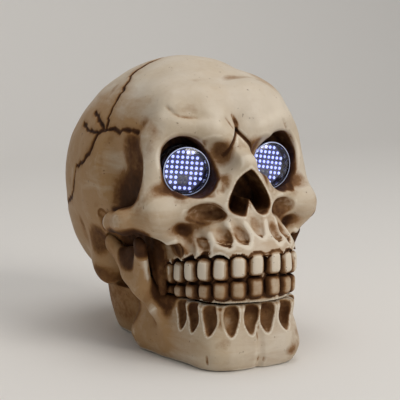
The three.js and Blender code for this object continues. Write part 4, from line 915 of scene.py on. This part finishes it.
crackParts = jaggedCracks()
scratches = [  # creases of the brow and frown, one crack over the left brow
    [(-35.5, -51.7, 135.8), (-34.4, -56.4, 133), (-31.7, -59, 131.6), (-26.7, -60.8, 131), (-23.3, -62, 130.7)],
    [(-6.7, -64.1, 129.9), (-2.9, -63.9, 124.9)],
    [(-1.4, -60.2, 130.9), (1.1, -61.1, 125.6)],
    [(30.5, -60.6, 126.9), (31.6, -60.2, 124.6), (33.3, -59.1, 122.6)],
    [(31.6, -60.2, 124.6), (34.2, -57.6, 126.2)],
]
chinLines = [
    [(-1.3, -87.5, 19), (-1.9, -88, 12), (-0.8, -87.9, 4.5)],
    [(5.1, -86.9, 19.7), (3.2, -88.2, 12), (2.1, -88.5, 4.2)],
    [(-28.6, -82.6, 8.5), (-27.6, -81.3, 3.7)],
]
scratchWork = {"depth": 0.45, "width": 0.9, "reach": 6}


def lineDistance(points, lines):
    best = np.full(len(points), farOff)
    for line in lines:
        for a, b in zip(np.array(line, float), np.array(line[1:], float)):
            room = np.abs(b - a).max() / 2 + scratchWork["reach"]
            near = np.flatnonzero(np.abs(points - (a + b) / 2).max(1) < room)
            best[near] = np.minimum(best[near], alongLine(*points[near].T, a, b)[1])
    return best


def scored(points, lines):
    return scratchWork["depth"] * np.exp(-((lineDistance(points, lines) / scratchWork["width"]) ** 2))


def crackDistance(points):  # along the braincase, seen from its middle
    centre, radius = np.array(crackWork["centre"]), crackWork["radius"]
    out = np.full(len(points), farOff)
    rays = points - centre
    far = np.linalg.norm(rays, axis=1)
    near = np.flatnonzero((far > 48) & (points[:, 0] < 26) & (points[:, 2] > 62))
    q = rays[near] / far[near][:, None] * radius
    best = np.full(len(near), farOff)
    for a, b, width in crackParts:
        a, b = [(e - centre) / np.linalg.norm(e - centre) * radius for e in (a, b)]
        best = np.minimum(best, alongLine(*q.T, a, b)[1] / width)
    out[near] = best
    return out


handWork = {"broad": 0.2, "broadWaves": (10, 30), "fine": 0.16, "fineWaves": (2.4, 5)}  # depth, wave lengths


def hollowShare(points):  # 1 in the hollows of the face that carry painted shade and wash
    x, y, z = points.T
    share = np.zeros(len(points))
    for field, *_, strength in faceHollows(np.abs(x), y, z):
        if np.any(strength):
            share = np.maximum(share, ramp(0.4, -0.4, field))
    return share


def pooled(field, strength):  # painted shade and wash in a hollow, thicker along its rim
    inside = 0.9 * ramp(0.8, -0.5, field)
    return strength * np.maximum(inside, 1.15 * np.exp(-(((field + 0.4) / 0.7) ** 2)))


toothStainAndHighlight = {
    "corner": 3.2, "edge": 0.58, "upperReach": 1.25, "lowerReach": 1.7, "lowerTone": 0.15,
    "upperHighlight": 0.4, "lowerHighlight": 0.25, "faceHalf": 4.2, "browLift": 0.2, "browReach": 6,
}


def toothStain(s, y, z):  # brown edge round each tooth, more on the lower row
    dark = np.zeros_like(s)
    corner = toothStainAndHighlight["corner"]
    for u, w, gum, bite, low in toothFrames(s, y):
        rise = np.where(z > bite, np.minimum(gum - z, z - bite), np.minimum(bite - z, z - low))
        edge = corner - length(np.maximum(corner - toothHalf + np.abs(u), 0), np.maximum(corner - rise, 0))
        reach = np.where(z > bite, toothStainAndHighlight["upperReach"], toothStainAndHighlight["lowerReach"])
        tone = toothStainAndHighlight["edge"] * np.exp(-((np.maximum(edge, 0) / reach) ** 2))
        tone = tone + toothStainAndHighlight["lowerTone"] * (z < bite)
        dark = np.where((edge > -0.8) & (w > -7) & (w < 3), np.maximum(dark, tone), dark)
    return dark


def toothHighlightAndBrowLift(s, y, z):  # painted highlight on the tooth faces, and paler along the crease over the brow
    pale = toothStainAndHighlight["browLift"] * np.exp(-((nearest(s, y, z, browGroove["line"]) / toothStainAndHighlight["browReach"]) ** 2))
    for u, w, gum, bite, low in toothFrames(s, y):
        for top, foot, share in ((gum, bite, toothStainAndHighlight["upperHighlight"]), (bite, low, toothStainAndHighlight["lowerHighlight"])):
            face = length(u / toothStainAndHighlight["faceHalf"], (z - (top + foot) / 2) / (top - foot) * 2)
            pale = np.maximum(pale, share * ramp(1, 0.5, face) * (np.abs(w) < 5))
    return pale


points, quads = skinOf(seamedUpper, craniumWork["low"], craniumWork["high"], craniumWork["step"])
depth = crackWork["depth"] * np.exp(-((crackDistance(points) / crackWork["width"]) ** 2))
depth += scored(points, scratches)
depth += handWork["broad"] * unevenness(points, 3, *handWork["broadWaves"])
depth += handWork["fine"] * unevenness(points, 4, *handWork["fineWaves"]) * hollowShare(points)
points = pushed(seamedUpper, points, depth)
cutters = [eggCutter(*craniumWork["brain"], 32, 16), eggCutter(*craniumWork["palate"], 20, 12)]
(foot, top), (boreAt, boreHalf) = craniumWork["boreSpan"], craniumWork["neckBore"]
upright = Matrix.Rotation(math.pi / 2, 4, "X")
post = turnedMesh("cutter", [(0, foot), (1, foot), (1, top), (0, top)], 40)
cutters.append(cutterOf(post, Matrix.Translation(boreAt) @ Matrix.Diagonal((*boreHalf, 1, 1)) @ upright))
seat, bore = eye["lensR"] + eye["seatRoom"], eye["matrixR"] + eye["boreRoom"]
seatAt, boreEnd, mouth = -eye["seatAt"], -eye["seatAt"] - eye["boreDepth"], 4
well = [(0, mouth), (seat, mouth), (seat, seatAt), (bore, seatAt), (bore, boreEnd), (0, boreEnd)]
for m in eyes.values():
    cutters.append(cutterOf(turnedMesh("cutter", well, eye["sides"]), m))
craniumMesh = cutAway(meshOf("cranium", points, quads), cutters, craniumWork["keep"])


# darkness: painted shade in the face's hollows, in the shade patches and round the eye caps, with the brown of the
# tooth edges, cracks and scratches
def craniumShadeAndStains(s, y, z, x):
    points = np.stack([x, y, z], 1)
    dark = toothStain(s, y, z)
    for field, *_, strength in faceHollows(s, y, z):
        dark = np.maximum(dark, pooled(field, strength))
    frown = np.maximum(nearest(s, 0 * s, z, furrow["line"]) - 0.3, 0)
    dark = np.maximum(dark, 0.8 * np.exp(-((frown / 0.7) ** 2)) * ramp(*furrow["fade"], y))
    for a, b, ra, rb, _ in cheekFolds:
        dark = np.maximum(dark, 0.55 * ramp(3, 0.5, rod(s, y, z, a, b, ra, rb)))
    for centre, half, strength, soft in shadeAndStainSpots:
        dark = np.maximum(dark, strength * ramp(soft, -soft, egg(s, y, z, centre, half)))
    for m in eyes.values():  # ring of painted shadow round each cap
        back = np.array(m.inverted())
        u, out, w = (points @ back[:3, :3].T + back[:3, 3]).T
        ring = np.exp(-(((length(u, w) - eye["lensR"] - eye["seatRoom"]) / 1.8) ** 2))
        dark = np.maximum(dark, 0.8 * ring * ramp(14, 10, np.abs(out)))
    line = crackDistance(points)
    for strength, spread in ((0.9, 0.9), (0.26, 2.6)):
        dark = np.maximum(dark, strength * np.exp(-((line / spread) ** 2)))
    return np.maximum(dark, 0.2 * np.exp(-((lineDistance(points, scratches) / 0.9) ** 2)))


# ochre share: painted shade, with some ochre wash, on the sides of the face, towards the back and along the
# cheekbone arch; painted warm bounce light on the lower face; a brown patch on the left forehead; brown along the
# cracks
def craniumShadeOchre(s, y, z, x):
    side = 0.68 * ramp(32, 54, s) * ramp(-62, -30, y) + 0.45 * ramp(-10, 60, y)
    low = 0.6 * ramp(86, 52, z) * ramp(-62, -40, y) + 0.36 * ramp(88, 74, z) * ramp(-40, -60, y)
    edge = 0.55 * ramp(4, -4, egg(x, y, z, (30, -36, 144), (9, 14, 10))) + 0.3 * ramp(44, 54, s) * ramp(90, 82, z)
    crack = 0.35 * np.exp(-((crackDistance(np.stack([x, y, z], 1)) / 6) ** 2))
    return side + low + edge + crack


def addCasting(name, mesh, node):
    settle(mesh)
    mesh.materials.clear()
    addPiece(name, mesh, [resin], node)
    print(name, len(mesh.vertices), "points")


addShadeAndWash(craniumMesh, seamedUpper, craniumShadeAndStains, craniumShadeOchre, toothHighlightAndBrowLift)
addCasting("craniumCasting", craniumMesh, "cranium")

jawWork = {"low": (-58, -98, -4), "high": (58, 60, 72), "step": 0.65, "keep": 0.6}
jawCuts = [  # x, y, foot, width, length, height
    (0, 0, -20, 300, 300, 20),  # all below the floor
    (0, -51.5, -1, 43.1, 55.7, 4.3), (0, -39, -1, 56.6, 12.6, 4.3), (0, -51.5, -1, 37.1, 51.3, 9),  # battery box
    (24.4, -39, 1, 2.6, 2.6, 4.5), (-24.4, -39, 1, 2.6, 2.6, 4.5),  # its screws
    (0, 4, -1, 17, 10, 5), (0, 4, 0, 7.6, 3.6, 8),  # switch
]
# painted shade in the ramus and under the cheekbone arch
jawShadeSpots = [  # centre, half sizes, strength, softness
    ((47, -28, 53), (4, 11, 9), 0.65, 1.5),  # web of the ramus, painted shade
    ((34, -40, 36), (7, 18, 12), 0.6, 2),  # wall between the ramus and the teeth, painted shade
    ((48, -46, 63), (7, 7, 7), 0.75, 2.5),
    ((40, -20, 24), (6, 7, 12), 0.45, 2.5),
]
points, quads = skinOf(jawClay, jawWork["low"], jawWork["high"], jawWork["step"])
depth = handWork["broad"] * unevenness(points, 5, *handWork["broadWaves"]) + scored(points, chinLines)
points = pushed(jawClay, points, depth)
jawMesh = cutAway(meshOf("jaw", points, quads), [boxCutter(*cut) for cut in jawCuts], jawWork["keep"])


def jawShadeAndStains(s, y, z, x):
    # pits darker towards the top: painted shade under their rim, with the brown wash
    dark = pooled(jawPits(s, y, z), 0.66 - 0.26 * ramp(36, 18, z))
    line = lineDistance(np.stack([x, y, z], 1), chinLines)
    dark = np.maximum(dark, 0.36 * np.exp(-((line / 0.8) ** 2)))
    # darker towards the neck at the rear: painted shade under the braincase
    dark = np.maximum(dark, 0.27 * ramp(-24, -12, y) * ramp(0, 12, z))
    for centre, half, strength, soft in jawShadeSpots:
        dark = np.maximum(dark, strength * ramp(soft, -2, egg(s, y, z, centre, half)))
    return dark


# ochre share: painted shade, with some ochre wash, on the sides and the rear of the jaw and towards its top, and a
# little ochre all over
def jawShadeOchre(s, y, z, x):
    return 0.85 * ramp(26, 42, s) + 0.9 * ramp(-30, -14, y) + 0.3 * ramp(20, 36, z) + 0.15


addShadeAndWash(jawMesh, jawClay, jawShadeAndStains, jawShadeOchre)
addCasting("jawCasting", jawMesh, "jaw_base")


# eyes: clear cap with a painted glow on its rim, black board with a faint painted glow, and lit dots with four dim
# ones as a pupil
lensLook = {"colour": (0.93, 0.95, 1.0), "roughness": 0.03, "ior": 1.16, "coat": 0.7}
litLooks = {  # colour and strength of the glowing faces: the lit dots, and the painted glow of the board and the cap's rim
    "paintedBoardGlow": ((0.075, 0.075, 0.14), 0.35), "paintedRimGlow": ((0.5, 0.56, 0.8), 0.35),
    "litCore": ((0.58, 0.65, 1.0), 1.25), "litGlow": ((0.16, 0.2, 0.95), 1.0),
}


def clearMaterial():
    material, tree, shader, where = newMaterial("clearCap")
    rough = lensLook["roughness"]
    feed(tree, shader, {
        "Base Color": lensLook["colour"], "Transmission Weight": 1, "IOR": lensLook["ior"],
        "Coat Weight": lensLook["coat"], "Coat Roughness": rough,
        "Roughness": linear(tree, noiseOf(tree, where, 300, 2), 0.04, rough - 0.02),
    })
    return material


def litMaterial(name, colour, strength):
    material, tree, shader, where = newMaterial(name)
    shade = mixOf(tree, noiseOf(tree, where, 900, 2), tuple(c * 0.85 for c in colour), colour)
    feed(tree, shader, {
        "Base Color": shade, "Emission Color": shade, "Emission Strength": strength, "Roughness": 0.35,
    })
    return material


def addDot(bm, at, dim):  # stepped dome, blue foot and white top, or grey all over
    sides, rings = eye["dotSides"], []
    turns = [2 * math.pi * t / sides for t in range(sides)]
    for share, high in eye["dotRings"]:
        r = eye["dotR"] * share
        rings.append([bm.verts.new((at.x + r * math.cos(t), at.y + high, at.z + r * math.sin(t))) for t in turns])
    top, foot = (3, 3) if dim else (1, 2)
    for k, (a, b) in enumerate(zip(rings, rings[1:])):
        for t in range(sides):
            f = bm.faces.new((a[t], a[(t + 1) % sides], b[(t + 1) % sides], b[t]))
            f.material_index = top if k > 1 else foot
            f.smooth = True
    bm.faces.new(rings[-1]).material_index = top
    bm.faces.new(rings[0][::-1]).material_index = foot


clearCap = clearMaterial()
lit = {name: litMaterial(name, *look) for name, look in litLooks.items()}
dimDot = mouldedMaterial("dimDot", (0.24, 0.24, 0.27), 0.4)
r, wall, bulge, skirt = eye["lensR"], eye["wall"], eye["bulge"], eye["skirt"]
deep, boardR, boardFoot = -eye["matrixSet"], eye["matrixR"], -eye["matrixSet"] - eye["matrixDepth"]
outer = [((r - 0.5) * t, bulge * (1 - t * t)) for t in eye["dome"]]
inner = [((r - wall) * t, bulge * (1 - t * t) - wall) for t in reversed(eye["dome"])]
rim = [(r - 0.15, -0.12), (r, -0.5), (r, -skirt), (r - wall, -skirt)]
for side, m in eyes.items():
    capMesh = turnedMesh("cap", outer + rim + inner, eye["sides"])
    # rim faces of the cap take the painted rim glow
    for f in capMesh.polygons:
        f.use_smooth = True
        f.material_index = math.hypot(f.center.x, f.center.z) > r - 0.55 and f.center.y > -1.2
    capMesh.transform(m)
    settle(capMesh)
    capMesh.set_sharp_from_angle(angle=math.radians(40))
    addPiece(side + "EyeCap", capMesh, [clearCap, lit["paintedRimGlow"]], "eye_lens_" + side)

    boardMesh = turnedMesh("board", [(0, deep), (boardR, deep), (boardR, boardFoot), (0, boardFoot)], eye["sides"])
    bm = bmesh.new()
    bm.from_mesh(boardMesh)
    turn = Matrix.Rotation(math.radians(-eye["roll"][side]), 4, "Y")
    wide = len(eye["rows"])
    for row, count in enumerate(eye["rows"]):
        for i in range(count):
            column = i + (wide - count) // 2
            place = Vector((column - (wide - 1) / 2, 0, row - (wide - 1) / 2)) * eye["pitch"]
            dim = row in eye["pupilRows"] and column in eye["pupilColumns"]
            addDot(bm, turn @ place + Vector((0, deep, 0)), dim)
    bmesh.ops.recalc_face_normals(bm, faces=bm.faces)
    bm.to_mesh(boardMesh)
    bm.free()
    boardMesh.transform(m)
    settle(boardMesh)
    boardLooks = [lit["paintedBoardGlow"], lit["litCore"], lit["litGlow"], dimDot]
    addPiece(side + "EyeMatrix", boardMesh, boardLooks, "led_matrix_" + side)
print("eyes")
